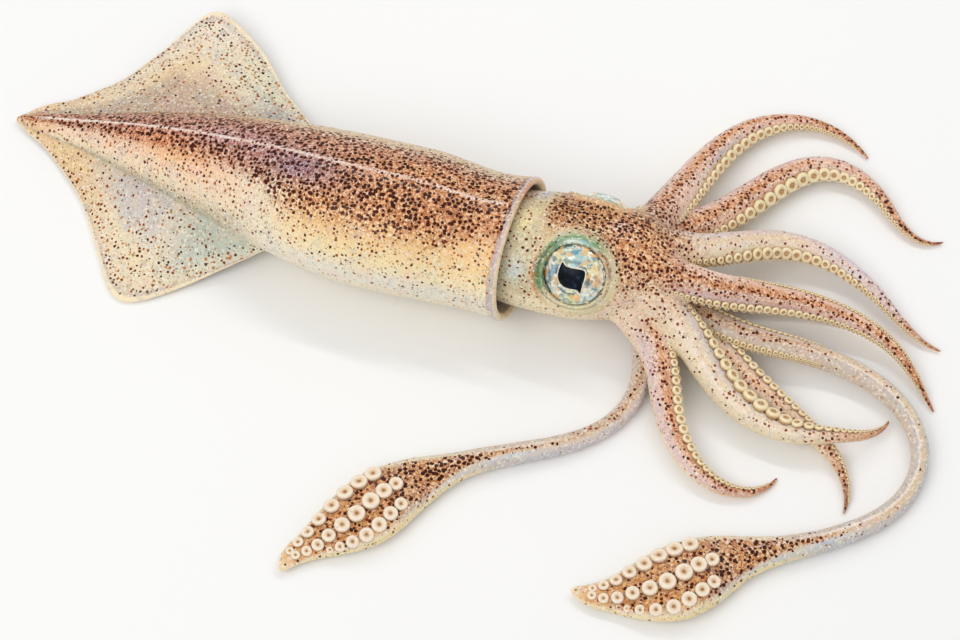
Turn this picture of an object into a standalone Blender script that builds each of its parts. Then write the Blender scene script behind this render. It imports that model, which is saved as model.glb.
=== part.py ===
"""A whole raw squid, lying on its belly with its arms and tentacles spread out.

Metres and degrees. +X runs from the tail tip to the arms, +Y to the animal's left, and
z = 0 is the surface it lies on. Stations are measured along X from the tail tip; the
whole animal is then shifted so that the origin is on the flat of the belly.
"""

import math
from dataclasses import dataclass

import bmesh
import bpy
import numpy as np
from mathutils import Euler, Matrix, Vector

# ---- Frame ----
BELLY_REST = (0.120, -0.0035, 0.0)  # station and side place of the belly's resting flat
GAP = 0.0003  # between touching solids

# ---- Mantle: the tube of the body, as (station, value) pairs ----
MANTLE_LENGTH = 0.200
MANTLE_HALF_WIDTH = (
    (0.000, 0.0012),
    (0.010, 0.0040),
    (0.025, 0.0070),
    (0.054, 0.0139),
    (0.096, 0.0225),
    (0.136, 0.0279),
    (0.160, 0.0282),
    (0.188, 0.0265),
    (0.200, 0.0275),
)
MANTLE_SWAY = (
    (0.000, 0.0012),
    (0.030, 0.0022),
    (0.060, 0.0010),
    (0.096, -0.0018),
    (0.136, -0.0044),
    (0.174, -0.0017),
    (0.200, 0.0),
)
MANTLE_FLATNESS = 0.85  # height over width of a section
BELLY_SINK = 0.0008  # how far the round section is pressed flat by its own weight
TAIL_LIFT = 0.0016  # of the tail tip, which is too stiff to lie flat
TAIL_LIFT_END = 0.030
MANTLE_SIDES = 28
MANTLE_RINGS = 20
TAIL_TIP = (0.0003, 0.0009)  # station and radius of the first ring behind the tip
WALL = 0.0026
COLLAR_DEPTH = 0.018  # of the open collar around the neck
COLLAR_RINGS = (0.0080, 0.0045, 0.0015)  # how far behind the lip its closer rings are
LIP_EDGES = (0.3, 0.7)  # of the wall, where the lip's flat end starts and stops
COLLAR_SLANT = 7.0  # the top of the collar leans back
SLANT_START = 0.140

# ---- Fins: (station, side place, height) along the outer edge ----
FIN_LEFT_EDGE = (
    (0.0008, 0.0020, 0.0018),
    (0.0050, 0.0076, 0.0022),
    (0.0100, 0.0115, 0.0028),
    (0.0186, 0.0172, 0.003),
    (0.0314, 0.0300, 0.004),
    (0.0412, 0.0460, 0.006),
    (0.0478, 0.0602, 0.0075),
    (0.0520, 0.0668, 0.008),
    (0.0581, 0.0676, 0.008),
    (0.0745, 0.0592, 0.006),
    (0.0919, 0.0437, 0.005),
    (0.1060, 0.0320, 0.008),
    (0.1150, 0.0170, 0.011),
)
FIN_RIGHT_EDGE = (
    (0.0008, 0.0004, 0.0018),
    (0.0060, -0.0032, 0.0015),
    (0.0178, -0.0092, 0.0011),
    (0.0362, -0.0233, 0.0010),
    (0.0506, -0.0409, 0.0009),
    (0.0600, -0.0535, 0.0009),
    (0.0672, -0.0575, 0.0009),
    (0.0750, -0.0546, 0.0010),
    (0.0855, -0.0458, 0.002),
    (0.1026, -0.0299, 0.005),
    (0.1110, -0.0230, 0.008),
    (0.1180, -0.0140, 0.011),
)
FIN_THICKNESS = 0.0018
FIN_ROOT_DEPTH = 0.5  # of the mantle's half width, where the fin's root is buried
FIN_ROOT_HEIGHT = 0.95  # of the mantle's half height
FIN_DROOP = 1.3  # power of the curve by which a fin comes down to its edge
FIN_STEPS = (19, 5)

# ---- Head ----
HEAD_HALF_WIDTH = (
    (0.1865, 0.0205),
    (0.1950, 0.0212),
    (0.2070, 0.0226),
    (0.2190, 0.0228),
    (0.2300, 0.0220),
    (0.2400, 0.0200),
    (0.2500, 0.0140),
)
HEAD_FRONT = 0.2560
HEAD_SWAY = (
    (0.1865, 0.0),
    (0.1980, 0.0012),
    (0.2080, 0.0026),
    (0.2190, 0.0036),
    (0.2300, 0.0050),
    (0.2420, 0.0074),
    (0.2560, 0.0092),
)
HEAD_HEIGHT = 0.0220  # of the head's middle line
HEAD_FLATNESS = 0.86
HEAD_SIDES = 24
HEAD_RINGS = 12
CROWN_RING = (0.7, 0.6)  # shares of the way to the front and of the last radius

# ---- Eyes ----
EYE_STATION = 0.2233
EYE_ANGLES = {1: 75.0, -1: 49.0}  # from straight up on the left and right: the head is rolled
EYE_RADIUS = 0.0120
EYE_DEPTH = 0.0080  # half the depth of the flattened eyeball
EYE_OUT = 0.0165  # from the head's middle line to the eye's middle
LID_RADIUS = 0.0150
LID_DEPTH = 0.0080
LID_OUT = 0.0148

# ---- Funnel, under the head ----
FUNNEL_START = (0.205, 0.0030, 0.0052)
FUNNEL_END = (0.232, 0.0045, 0.0046)
FUNNEL_RADII = (0.0085, 0.0042)
FUNNEL_FLATNESS = 0.55
FUNNEL_SIDES = 14

# ---- Arms and tentacles ----
TIP_RADIUS = 0.0004
ARM_TAPER = 1.3
ARM_STEPS = 14
LIMB_SINK = 0.0004  # how far a limb is pressed flat where it lies on the table


@dataclass
class Limb:
    """An arm or a tentacle's path: bends are degrees per centimetre, heights are metres."""

    root: tuple
    heading: float
    length: float
    bends: tuple
    heights: tuple
    width: float


ARMS = {
    "arm_left_1": Limb(
        root=(0.2397, 0.0131),
        heading=22.0,
        length=0.1254,
        bends=(-2.7, 14.6, -20.2, -13.3, -3.2, 29.3),
        heights=(0.029, 0.020, 0.010, 0.006, 0.004, 0.001),
        width=0.0140,
    ),
    "arm_left_2": Limb(
        root=(0.2383, 0.0184),
        heading=79.4,
        length=0.1227,
        bends=(-2.7, 2.1, -5.5, -15.2, -19.7, -15.4),
        heights=(0.022, 0.014, 0.008, 0.005, 0.003, 0.001),
        width=0.0160,
    ),
    "arm_left_3": Limb(
        root=(0.2410, 0.0229),
        heading=48.8,
        length=0.1335,
        bends=(-2.4, 6.5, -3.7, -31.0, -8.1, 73.5),
        heights=(0.013, 0.009, 0.006, 0.004, 0.003, 0.001),
        width=0.0145,
    ),
    "arm_left_4": Limb(
        root=(0.2452, 0.0164),
        heading=2.1,
        length=0.0789,
        bends=(-1.3, 5.7, -0.9, -7.4, -6.0),
        heights=(0.009, 0.006, 0.005, 0.0035, 0.0025, 0.001),
        width=0.0110,
    ),
    "arm_right_1": Limb(
        root=(0.2409, 0.0039),
        heading=7.3,
        length=0.1242,
        bends=(-6.4, 11.4, -5.7, -9.4, -16.4, 5.0),
        heights=(0.031, 0.024, 0.015, 0.009, 0.005, 0.001),
        width=0.0145,
    ),
    "arm_right_2": Limb(
        root=(0.2445, -0.0005),
        heading=-8.8,
        length=0.1139,
        bends=(-14.2, -7.8, 8.7, 15.4, 9.5, 47.2),
        heights=(0.024, 0.015, 0.009, 0.008, 0.009, 0.002),
        width=0.0150,
    ),
    "arm_right_3": Limb(
        root=(0.2384, -0.0061),
        heading=-19.4,
        length=0.1011,
        bends=(-3.7, -23.6, 7.5, 14.7, 28.8, 44.8),
        heights=(0.019, 0.011, 0.007, 0.005, 0.003, 0.001),
        width=0.0140,
    ),
    "arm_right_4": Limb(
        root=(0.2523, 0.0008),
        heading=-11.5,
        length=0.1041,
        bends=(-2.9, -8.7, 5.5, -0.3, -17.5, -34.2),
        heights=(0.009, 0.0065, 0.0055, 0.004, 0.003, 0.001),
        width=0.0145,
    ),
}
TENTACLES = {
    "tentacle_left": Limb(
        root=(0.2544, 0.0029),
        heading=-8.8,
        length=0.2537,
        bends=(0.1, 7.2, -6.4, -13.4, -22.7, -13.0, 0.5, 1.7, -5.8, -17.6),
        heights=(0.014, 0.010, 0.007, 0.005, 0.004, 0.0025, 0.0025, 0.0025, 0.0025, 0.0025),
        width=0.0100,
    ),
    "tentacle_right": Limb(
        root=(0.2485, -0.0104),
        heading=-61.6,
        length=0.1677,
        bends=(-7.7, -21.4, -11.3, -0.7, 11.3, -4.3, 3.8, 22.8),
        heights=(0.007, 0.0036, 0.0025, 0.0025, 0.0025, 0.0025, 0.0025, 0.0025),
        width=0.0070,
    ),
}
STALK_RADIUS = 0.0032
STALK_THINS = 0.45  # of the length, where the stalk has thinned to its own radius
PATH_STEPS = 200
TENTACLE_SIDES = 10
CLUB_RING_GAP = 0.0045  # between the rings of a club
STALK_RING_GAP = 0.0100

# ---- Clubs: the flat ends of the tentacles ----
CLUB_SHAPE = {  # distance from the tip, half width, shift to the left
    "tentacle_left": (
        (0.000, 0.0010, 0.0000),
        (0.004, 0.0030, 0.0004),
        (0.008, 0.0046, 0.0004),
        (0.014, 0.0066, 0.0000),
        (0.020, 0.0092, 0.0000),
        (0.028, 0.0122, 0.0006),
        (0.036, 0.0138, 0.0006),
        (0.044, 0.0134, -0.0002),
        (0.052, 0.0116, -0.0012),
        (0.060, 0.0088, -0.0016),
        (0.068, 0.0064, -0.0010),
        (0.076, 0.0050, -0.0002),
        (0.086, 0.0042, 0.0004),
        (0.100, 0.0038, 0.0002),
        (0.140, 0.0032, 0.0000),
    ),
    "tentacle_right": (
        (0.000, 0.0010, 0.0000),
        (0.004, 0.0031, -0.0002),
        (0.008, 0.0044, 0.0003),
        (0.014, 0.0060, 0.0012),
        (0.020, 0.0082, 0.0014),
        (0.028, 0.0109, 0.0014),
        (0.036, 0.0127, 0.0008),
        (0.044, 0.0127, -0.0003),
        (0.052, 0.0111, -0.0011),
        (0.060, 0.0090, -0.0007),
        (0.068, 0.0066, 0.0002),
        (0.076, 0.0050, 0.0006),
        (0.086, 0.0042, 0.0005),
        (0.100, 0.0038, 0.0001),
        (0.130, 0.0033, 0.0000),
    ),
}
CLUB_FLATNESS = 0.36  # height over width
CLUB_ROUND = (0.050, 0.090)  # distances between which the flat club becomes the round stalk
SUCKER_ROWS = (-0.58, 0.0, 0.58)  # of the club's half width
SUCKERS_FROM = 0.048  # from the tip
SUCKERS_TO = 0.009
SUCKER_SIZE = 0.23  # radius over the club's half width
SUCKER_RISE = 0.0014
SUCKER_TAPER = 0.8  # radius at the top over the radius at the foot
SUCKER_SPACING = 2.15  # radii from one sucker of a row to the next
SUCKER_STAGGER = 0.003  # between the middle row and the outer ones
SUCKER_UPRIGHT = 1.6  # how little the outer rows lean outwards
SUCKER_SIDES = 6

# ---- Colours: base colour and roughness ----
SKIN = ((0.62, 0.36, 0.22), 0.35)
HEAD_SKIN = ((0.60, 0.34, 0.20), 0.35)
PALE_SKIN = ((0.72, 0.62, 0.52), 0.35)
EYE_SILVER = ((0.30, 0.42, 0.45), 0.12)


def collection(name):
    """A new collection in the scene."""
    made = bpy.data.collections.new(name)
    bpy.context.scene.collection.children.link(made)
    return made


def material(name, finish):
    """A plain Principled material from a (colour, roughness) pair."""
    colour, roughness = finish
    made = bpy.data.materials.new(name)
    made.use_nodes = True
    shader = made.node_tree.nodes["Principled BSDF"]
    shader.inputs["Base Color"].default_value = (*colour, 1.0)
    shader.inputs["Roughness"].default_value = roughness
    shader.inputs["Metallic"].default_value = 0.0
    return made


def smooth_through(knots):
    """A smooth function of one variable through (place, value) pairs."""
    places = np.array([knot[0] for knot in knots])
    values = np.array([knot[1:] for knot in knots])
    slopes = np.gradient(values, places, axis=0)

    def value(place):
        place = min(max(place, places[0]), places[-1])
        left = min(int(np.searchsorted(places, place, side="right")), len(places) - 1) - 1
        span = places[left + 1] - places[left]
        t = (place - places[left]) / span
        rise = t * t * (3 - 2 * t)
        result = (
            values[left] * (1 - rise)
            + values[left + 1] * rise
            + slopes[left] * span * t * (1 - t) ** 2
            - slopes[left + 1] * span * t * t * (1 - t)
        )
        return float(result[0]) if len(result) == 1 else result

    return value


mantle_half_width = smooth_through(MANTLE_HALF_WIDTH)
mantle_sway = smooth_through(MANTLE_SWAY)
head_half_width = smooth_through(HEAD_HALF_WIDTH)
head_sway = smooth_through(HEAD_SWAY)
club_shape = {name: smooth_through(knots) for name, knots in CLUB_SHAPE.items()}


def mantle_middle(station):
    """Height of the mantle's middle line above the table."""
    lift = TAIL_LIFT * max(0.0, 1 - station / TAIL_LIFT_END) ** 2
    return MANTLE_FLATNESS * mantle_half_width(station) - BELLY_SINK + lift


def add_object(name, mesh, group, smooth=True):
    """A mesh object in a collection, shaded smooth but for its sharp edges."""
    made = bpy.data.objects.new(name, mesh)
    group.objects.link(made)
    if smooth:
        mesh.shade_smooth()
        mesh.set_sharp_from_angle(angle=math.radians(50))
    return made


def as_cutter(obj):
    """A body that only serves a Boolean stays out of the finished part."""
    obj.hide_render = True
    obj.display_type = "WIRE"
    return obj


def evaluated_mesh(obj):
    """The object's mesh with its modifiers, welded, in world space; the object is removed."""
    bpy.context.view_layer.update()
    graph = bpy.context.evaluated_depsgraph_get()
    mesh = bpy.data.meshes.new_from_object(obj.evaluated_get(graph))
    mesh.transform(obj.matrix_world)
    shape = bmesh.new()
    shape.from_mesh(mesh)
    bmesh.ops.remove_doubles(shape, verts=shape.verts, dist=1e-6)
    bmesh.ops.recalc_face_normals(shape, faces=shape.faces)
    shape.to_mesh(mesh)
    shape.free()
    bpy.data.objects.remove(obj)
    return mesh


def turned(name, profile, sides, group):
    """A closed mesh turned about X from (station, radius) pairs that start and end on X."""
    outline = bpy.data.meshes.new(name + "_profile")
    edges = [(i, i + 1) for i in range(len(profile) - 1)]
    outline.from_pydata([(station, 0.0, radius) for station, radius in profile], edges, [])
    lathe = bpy.data.objects.new(name + "_lathe", outline)
    group.objects.link(lathe)
    screw = lathe.modifiers.new("Turn", "SCREW")
    screw.axis = "X"
    screw.steps = sides
    screw.render_steps = sides
    screw.use_merge_vertices = True
    screw.merge_threshold = 1e-5
    return evaluated_mesh(lathe)


def tube(name, points, radii, resolution, group):
    """A closed mesh along points with a radius at each, from a bevelled curve."""
    path = bpy.data.curves.new(name + "_path", "CURVE")
    path.dimensions = "3D"
    path.bevel_depth = 1.0
    path.bevel_resolution = resolution
    path.use_fill_caps = True
    spline = path.splines.new("POLY")
    spline.points.add(len(points) - 1)
    for place, point, radius in zip(spline.points, points, radii):
        place.co = (*point, 1.0)
        place.radius = radius
    made = bpy.data.objects.new(name + "_tube", path)
    group.objects.link(made)
    return evaluated_mesh(made)


def boolean(obj, other, operation):
    """Adds an exact Boolean of the other object, which becomes a cutter."""
    modifier = obj.modifiers.new(operation.title() + "_" + other.name, "BOOLEAN")
    modifier.operation = operation
    modifier.object = as_cutter(other)
    modifier.solver = "EXACT"


def lay_flat(mesh):
    """Brings what is below the table up to its surface."""
    for vertex in mesh.vertices:
        vertex.co.z = max(0.0, vertex.co.z)


# ---- Mantle and fins ----


def mantle_profile():
    """From the tail tip over the outside, round the lip and back into the collar."""
    far, near, lip_side = (MANTLE_LENGTH - ring for ring in COLLAR_RINGS)
    floor = MANTLE_LENGTH - COLLAR_DEPTH
    stations = [MANTLE_LENGTH * i / MANTLE_RINGS for i in range(1, MANTLE_RINGS)]
    stations += [near, lip_side]
    outside = [(0.0, 0.0), TAIL_TIP]
    outside += [(station, mantle_half_width(station)) for station in stations]
    lip_radius = mantle_half_width(MANTLE_LENGTH)
    lip = [(MANTLE_LENGTH, lip_radius - share * WALL) for share in LIP_EDGES]
    inside = [(station, mantle_half_width(station) - WALL) for station in (lip_side, far, floor)]
    return outside + lip + inside + [(floor, 0.0)]


def lay_mantle(mesh):
    """Flattens the turned mantle, slants its collar and rests its belly on the table."""
    slant = math.tan(math.radians(COLLAR_SLANT))
    for vertex in mesh.vertices:
        station, side, rise = vertex.co
        rise *= MANTLE_FLATNESS
        near_collar = max(0.0, (station - SLANT_START) / (MANTLE_LENGTH - SLANT_START))
        vertex.co.x = station - slant * rise * near_collar**2
        vertex.co.y = side + mantle_sway(station)
        vertex.co.z = max(0.0, rise + mantle_middle(station))


def fin(name, edge_knots, side, group, materials):
    """A fin: a sheet from inside the mantle to its outer edge, with a real thickness."""
    along, across = FIN_STEPS
    positions = np.linspace(0.0, 1.0, len(edge_knots))
    edge = smooth_through([(t, *knot) for t, knot in zip(positions, edge_knots)])
    sheet = bmesh.new()
    bmesh.ops.create_grid(sheet, x_segments=along, y_segments=across, size=0.5)
    for vertex in sheet.verts:
        station, outer_side, outer_height = edge(vertex.co.x + 0.5)
        reach = vertex.co.y + 0.5
        half_width = mantle_half_width(station)
        root_side = mantle_sway(station) + side * FIN_ROOT_DEPTH * half_width
        root_height = max(FIN_ROOT_HEIGHT * MANTLE_FLATNESS * half_width, FIN_THICKNESS)
        vertex.co = (
            station,
            root_side + (outer_side - root_side) * reach,
            outer_height + (root_height - outer_height) * (1 - reach) ** FIN_DROOP,
        )
    if side < 0:
        bmesh.ops.reverse_faces(sheet, faces=sheet.faces)
    mesh = bpy.data.meshes.new(name)
    sheet.to_mesh(mesh)
    sheet.free()
    mesh.materials.append(materials["skin"])
    made = add_object(name, mesh, group)
    shell = made.modifiers.new("Thickness", "SOLIDIFY")
    shell.thickness = FIN_THICKNESS
    shell.offset = 0.0
    return made


def build_mantle(parts, cutters, materials):
    """The mantle with both fins, in one piece."""
    mesh = turned("mantle", mantle_profile(), MANTLE_SIDES, cutters)
    lay_mantle(mesh)
    mesh.materials.append(materials["skin"])
    mantle = add_object("mantle", mesh, parts)
    for name, edge, side in (
        ("fin_left", FIN_LEFT_EDGE, 1),
        ("fin_right", FIN_RIGHT_EDGE, -1),
    ):
        boolean(mantle, fin(name, edge, side, cutters, materials), "UNION")
    return mantle


# ---- Head, eyes, arms and tentacles ----


def lay_head(mesh):
    """Flattens the turned head and moves it onto its own middle line."""
    for vertex in mesh.vertices:
        station, side, rise = vertex.co
        vertex.co.y = side + head_sway(station)
        vertex.co.z = rise * HEAD_FLATNESS + HEAD_HEIGHT


def head_profile():
    """From the neck's end, which is a flat disc, to the crown between the arms."""
    first = HEAD_HALF_WIDTH[0][0]
    last, last_radius = HEAD_HALF_WIDTH[-1]
    stations = [first + (last - first) * i / HEAD_RINGS for i in range(HEAD_RINGS + 1)]
    sides = [(station, head_half_width(station)) for station in stations]
    forward, inward = CROWN_RING
    crown = (last + forward * (HEAD_FRONT - last), inward * last_radius)
    return [(first, 0.0)] + sides + [crown, (HEAD_FRONT, 0.0)]


def eye_frame(side, out):
    """The turn and place of an eye's own Z, which points out of the head."""
    angle = math.radians(EYE_ANGLES[side]) * side
    outward = Vector((0.0, math.sin(angle), math.cos(angle)))
    middle = Vector((EYE_STATION, head_sway(EYE_STATION), HEAD_HEIGHT))
    return Matrix.Translation(middle + outward * out) @ Euler((-angle, 0.0, 0.0)).to_matrix().to_4x4()


def ellipsoid(name, radius, depth, frame, group, segments=18, rings=11):
    """A flattened ball whose short axis is its own Z."""
    shape = bmesh.new()
    bmesh.ops.create_uvsphere(shape, u_segments=segments, v_segments=rings, radius=1.0)
    bmesh.ops.scale(shape, vec=(radius, radius, depth), verts=shape.verts)
    mesh = bpy.data.meshes.new(name)
    shape.to_mesh(mesh)
    shape.free()
    made = add_object(name, mesh, group)
    made.matrix_world = frame
    return made


def limb_path(limb, steps):
    """Points along a limb, which starts at its root and turns by its bends."""
    stretch = limb.length / steps
    bend_places = np.linspace(0.0, 1.0, len(limb.bends))
    height = smooth_through(list(zip(np.linspace(0.0, 1.0, len(limb.heights)), limb.heights)))
    station, side = limb.root
    heading = math.radians(limb.heading)
    points = [Vector((station, side, height(0.0)))]
    for step in range(steps):
        bend = np.interp((step + 0.5) / steps, bend_places, limb.bends)
        turn = math.radians(bend) * stretch * 100
        station += stretch * math.cos(heading + turn / 2)
        side += stretch * math.sin(heading + turn / 2)
        heading += turn
        points.append(Vector((station, side, height((step + 1) / steps))))
    return points


def arm_radius(limb, t):
    """An arm's radius at a share t of its length."""
    return TIP_RADIUS + (limb.width / 2 - TIP_RADIUS) * (1 - t**ARM_TAPER)


def arm(name, limb, group):
    """A tapered arm that lies on the table."""
    points = limb_path(limb, ARM_STEPS)
    radii = [arm_radius(limb, step / ARM_STEPS) for step in range(ARM_STEPS + 1)]
    for point, radius in zip(points, radii):
        point.z = max(point.z, radius - LIMB_SINK)
    mesh = tube(name, points, radii, 2, group)
    lay_flat(mesh)
    return add_object(name, mesh, group)


def tentacle_section(name, limb, distance):
    """A tentacle's half width, half height and shift to the left at a distance from its tip."""
    if distance < CLUB_SHAPE[name][-1][0]:
        half_width, shift = club_shape[name](distance)
    else:
        thinned = min(1.0, (1 - distance / limb.length) / STALK_THINS)
        half_width = limb.width / 2 + (STALK_RADIUS - limb.width / 2) * thinned
        shift = 0.0
    flat_end, round_start = CLUB_ROUND
    share = min(1.0, max(0.0, (distance - flat_end) / (round_start - flat_end)))
    roundness = share * share * (3 - 2 * share)
    return half_width, half_width * (CLUB_FLATNESS + (1 - CLUB_FLATNESS) * roundness), shift


def tentacle_place(name, limb, path, distance):
    """Middle, direction to the left, half width and half height at a distance from the tip."""
    half_width, half_height, shift = tentacle_section(name, limb, distance)
    index = round(PATH_STEPS * (1 - distance / limb.length))
    along = path[min(index + 1, PATH_STEPS)] - path[max(index - 1, 0)]
    left = Vector((-along.y, along.x, 0.0)).normalized()
    middle = path[index] + left * shift
    middle.z = max(middle.z, half_height - LIMB_SINK)
    return middle, left, half_width, half_height


def tentacle_body(name, limb, group, grow=0.0):
    """A tentacle's round stalk and flat club in one closed loft that lies on the table."""
    path = limb_path(limb, PATH_STEPS)
    club_length = CLUB_ROUND[1]
    stalk_rings = round((limb.length - club_length) / STALK_RING_GAP)
    distances = list(np.arange(0.0, club_length, CLUB_RING_GAP))
    distances += list(np.linspace(club_length, limb.length, stalk_rings + 1))
    shape = bmesh.new()
    rings = []
    for distance in distances:
        middle, left, half_width, half_height = tentacle_place(name, limb, path, distance)
        ring = []
        for side in range(TENTACLE_SIDES):
            angle = 2 * math.pi * side / TENTACLE_SIDES
            out = left * (half_width + grow) * math.cos(angle)
            rise = Vector((0.0, 0.0, (half_height + grow) * math.sin(angle)))
            ring.append(shape.verts.new(middle + out + rise))
        rings.append(ring)
    shape.faces.new(rings[0])
    shape.faces.new(rings[-1])
    for ring, following in zip(rings, rings[1:]):
        for side in range(TENTACLE_SIDES):
            after = (side + 1) % TENTACLE_SIDES
            shape.faces.new((ring[side], ring[after], following[after], following[side]))
    bmesh.ops.recalc_face_normals(shape, faces=shape.faces)
    mesh = bpy.data.meshes.new(name)
    shape.to_mesh(mesh)
    shape.free()
    lay_flat(mesh)
    return add_object(name, mesh, group)


def club_suckers(name, limb, group):
    """Rows of low suckers on the upper face of a club, smaller towards its tip."""
    path = limb_path(limb, PATH_STEPS)
    suckers = []
    for row, offset in enumerate(SUCKER_ROWS):
        distance = SUCKERS_FROM - (SUCKER_STAGGER if offset else 0.0)
        while distance > SUCKERS_TO:
            middle, left, half_width, half_height = tentacle_place(name, limb, path, distance)
            radius = SUCKER_SIZE * half_width
            rise = half_height * math.sqrt(1 - offset**2)
            tilt = (left * offset + Vector((0, 0, SUCKER_UPRIGHT))).normalized()
            shape = bmesh.new()
            bmesh.ops.create_cone(
                shape,
                cap_ends=True,
                segments=SUCKER_SIDES,
                radius1=radius,
                radius2=SUCKER_TAPER * radius,
                depth=2 * SUCKER_RISE,
            )
            mesh = bpy.data.meshes.new(name + "_sucker")
            shape.to_mesh(mesh)
            shape.free()
            mesh.transform(Vector((0, 0, 1)).rotation_difference(tilt).to_matrix().to_4x4())
            mesh.transform(Matrix.Translation(middle + left * offset * half_width))
            mesh.transform(Matrix.Translation((0.0, 0.0, rise)))
            suckers.append(add_object(f"{name}_sucker_{row}_{len(suckers)}", mesh, group))
            distance -= SUCKER_SPACING * radius
    return suckers


def build_tentacle(name, limb, parts, cutters, materials):
    """A tentacle: a long stalk with a suckered club at its end."""
    tentacle = tentacle_body(name, limb, parts)
    tentacle.data.materials.append(materials["pale"])
    for sucker in club_suckers(name, limb, cutters):
        boolean(tentacle, sucker, "UNION")
    return tentacle


def funnel(group):
    """The squid's jet nozzle, a flattened cone under its head."""
    start = Vector(FUNNEL_START)
    end = Vector(FUNNEL_END)
    turn = Vector((0, 0, 1)).rotation_difference(end - start).to_matrix().to_4x4()
    shape = bmesh.new()
    bmesh.ops.create_cone(
        shape,
        cap_ends=True,
        segments=FUNNEL_SIDES,
        radius1=FUNNEL_RADII[0],
        radius2=FUNNEL_RADII[1],
        depth=(end - start).length,
    )
    mesh = bpy.data.meshes.new("funnel")
    shape.to_mesh(mesh)
    shape.free()
    mesh.transform(turn)
    mesh.transform(Matrix.Diagonal((1.0, 1.0, FUNNEL_FLATNESS, 1.0)))
    mesh.transform(Matrix.Translation((start + end) / 2))
    return add_object("funnel", mesh, group)


def build_head(parts, cutters, materials):
    """Head, funnel and the eight arms in one piece, with room for eyes and tentacles."""
    mesh = turned("head", head_profile(), HEAD_SIDES, cutters)
    lay_head(mesh)
    mesh.materials.append(materials["head"])
    head = add_object("head", mesh, parts)
    for side, name in ((1, "lid_left"), (-1, "lid_right")):
        lid = ellipsoid(name, LID_RADIUS, LID_DEPTH, eye_frame(side, LID_OUT), cutters, 23, 12)
        boolean(head, lid, "UNION")
    boolean(head, funnel(cutters), "UNION")
    for name, limb in ARMS.items():
        boolean(head, arm(name, limb, cutters), "UNION")
    for side, name in ((1, "socket_left"), (-1, "socket_right")):
        socket = ellipsoid(name, EYE_RADIUS + GAP, EYE_DEPTH + GAP, eye_frame(side, EYE_OUT), cutters)
        boolean(head, socket, "DIFFERENCE")
    for name, limb in TENTACLES.items():
        pocket = tentacle_body(name, limb, cutters, grow=GAP)
        pocket.name = name + "_pocket"
        boolean(head, pocket, "DIFFERENCE")
    return head


def build_eyes(parts, materials):
    """Both eyeballs, a little proud of their lids."""
    eyes = []
    for side, name in ((1, "eye_left"), (-1, "eye_right")):
        eye = ellipsoid(name, EYE_RADIUS, EYE_DEPTH, eye_frame(side, EYE_OUT), parts)
        eye.data.materials.append(materials["eye"])
        eyes.append(eye)
    return eyes


def main():
    for old in list(bpy.data.objects):
        bpy.data.objects.remove(old)
    parts = collection("whole_raw_squid")
    cutters = collection("cutters")
    materials = {
        "skin": material("mantle_skin", SKIN),
        "head": material("head_skin", HEAD_SKIN),
        "pale": material("tentacle_skin", PALE_SKIN),
        "eye": material("eye_silver", EYE_SILVER),
    }
    build_mantle(parts, cutters, materials)
    build_head(parts, cutters, materials)
    build_eyes(parts, materials)
    for name, limb in TENTACLES.items():
        build_tentacle(name, limb, parts, cutters, materials)

    frame = bpy.data.objects.new("belly_frame", None)
    parts.objects.link(frame)
    frame.location = -Vector(BELLY_REST)
    for obj in list(parts.objects) + list(cutters.objects):
        if obj is not frame:
            obj.parent = frame


main()
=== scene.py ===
"""The looks of a whole raw squid that lies on its belly: wet spotted skin, fins with a
thick rim, iridescent eyes, and arms and tentacles with stalked suckers.

Metres. +X runs from the tail to the arms, +Y to the animal's left and Z up. Stations are
measured along X from the tail tip. Angles round the body are in degrees from straight up
and grow to the animal's left.
"""

import math
from dataclasses import dataclass

import bmesh
import bpy
import numpy as np
from mathutils import Matrix, Vector, noise
from mathutils.bvhtree import BVHTree


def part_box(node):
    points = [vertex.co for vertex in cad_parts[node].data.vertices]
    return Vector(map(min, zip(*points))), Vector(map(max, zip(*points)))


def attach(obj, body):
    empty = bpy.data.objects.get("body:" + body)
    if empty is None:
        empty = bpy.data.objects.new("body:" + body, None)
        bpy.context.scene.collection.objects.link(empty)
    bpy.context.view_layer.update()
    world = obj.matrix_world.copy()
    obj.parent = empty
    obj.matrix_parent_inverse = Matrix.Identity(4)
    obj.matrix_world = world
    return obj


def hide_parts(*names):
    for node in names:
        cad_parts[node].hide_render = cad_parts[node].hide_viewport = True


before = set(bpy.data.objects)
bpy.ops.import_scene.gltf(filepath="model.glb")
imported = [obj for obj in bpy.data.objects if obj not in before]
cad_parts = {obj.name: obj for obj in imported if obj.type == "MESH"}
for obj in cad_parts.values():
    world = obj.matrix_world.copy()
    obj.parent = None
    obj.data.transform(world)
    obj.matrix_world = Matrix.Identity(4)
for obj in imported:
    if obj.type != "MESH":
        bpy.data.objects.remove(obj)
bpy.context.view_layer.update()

# ---- Mantle, as (station, value) knots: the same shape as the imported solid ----
MANTLE_LENGTH = 0.200
MANTLE_HALF_WIDTH = (
    (0.000, 0.0012),
    (0.010, 0.0040),
    (0.025, 0.0070),
    (0.054, 0.0139),
    (0.096, 0.0225),
    (0.136, 0.0279),
    (0.160, 0.0282),
    (0.188, 0.0265),
    (0.200, 0.0275),
)
MANTLE_SWAY = (
    (0.000, 0.0012),
    (0.030, 0.0022),
    (0.060, 0.0010),
    (0.096, -0.0018),
    (0.136, -0.0044),
    (0.174, -0.0017),
    (0.200, 0.0),
)
MANTLE_FLATNESS = 0.85
BELLY_SINK = 0.0008
TAIL_LIFT = 0.0016
TAIL_LIFT_END = 0.030
WALL = 0.0026
COLLAR_DEPTH = 0.0178
COLLAR_SLANT = 7.0
SLANT_START = 0.140
MANTLE_RINGS = 250
MANTLE_SIDES = 208
LIP_RADIUS = 0.00150  # of the rolled edge of the collar
LIP_CREASE = 0.00018  # depth of the crease behind it
PEN_ANGLE = 6.0  # the stiff pen shows as a ridge along the back
PEN_RISE = 0.00042
PEN_WIDTH = 0.0009

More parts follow.
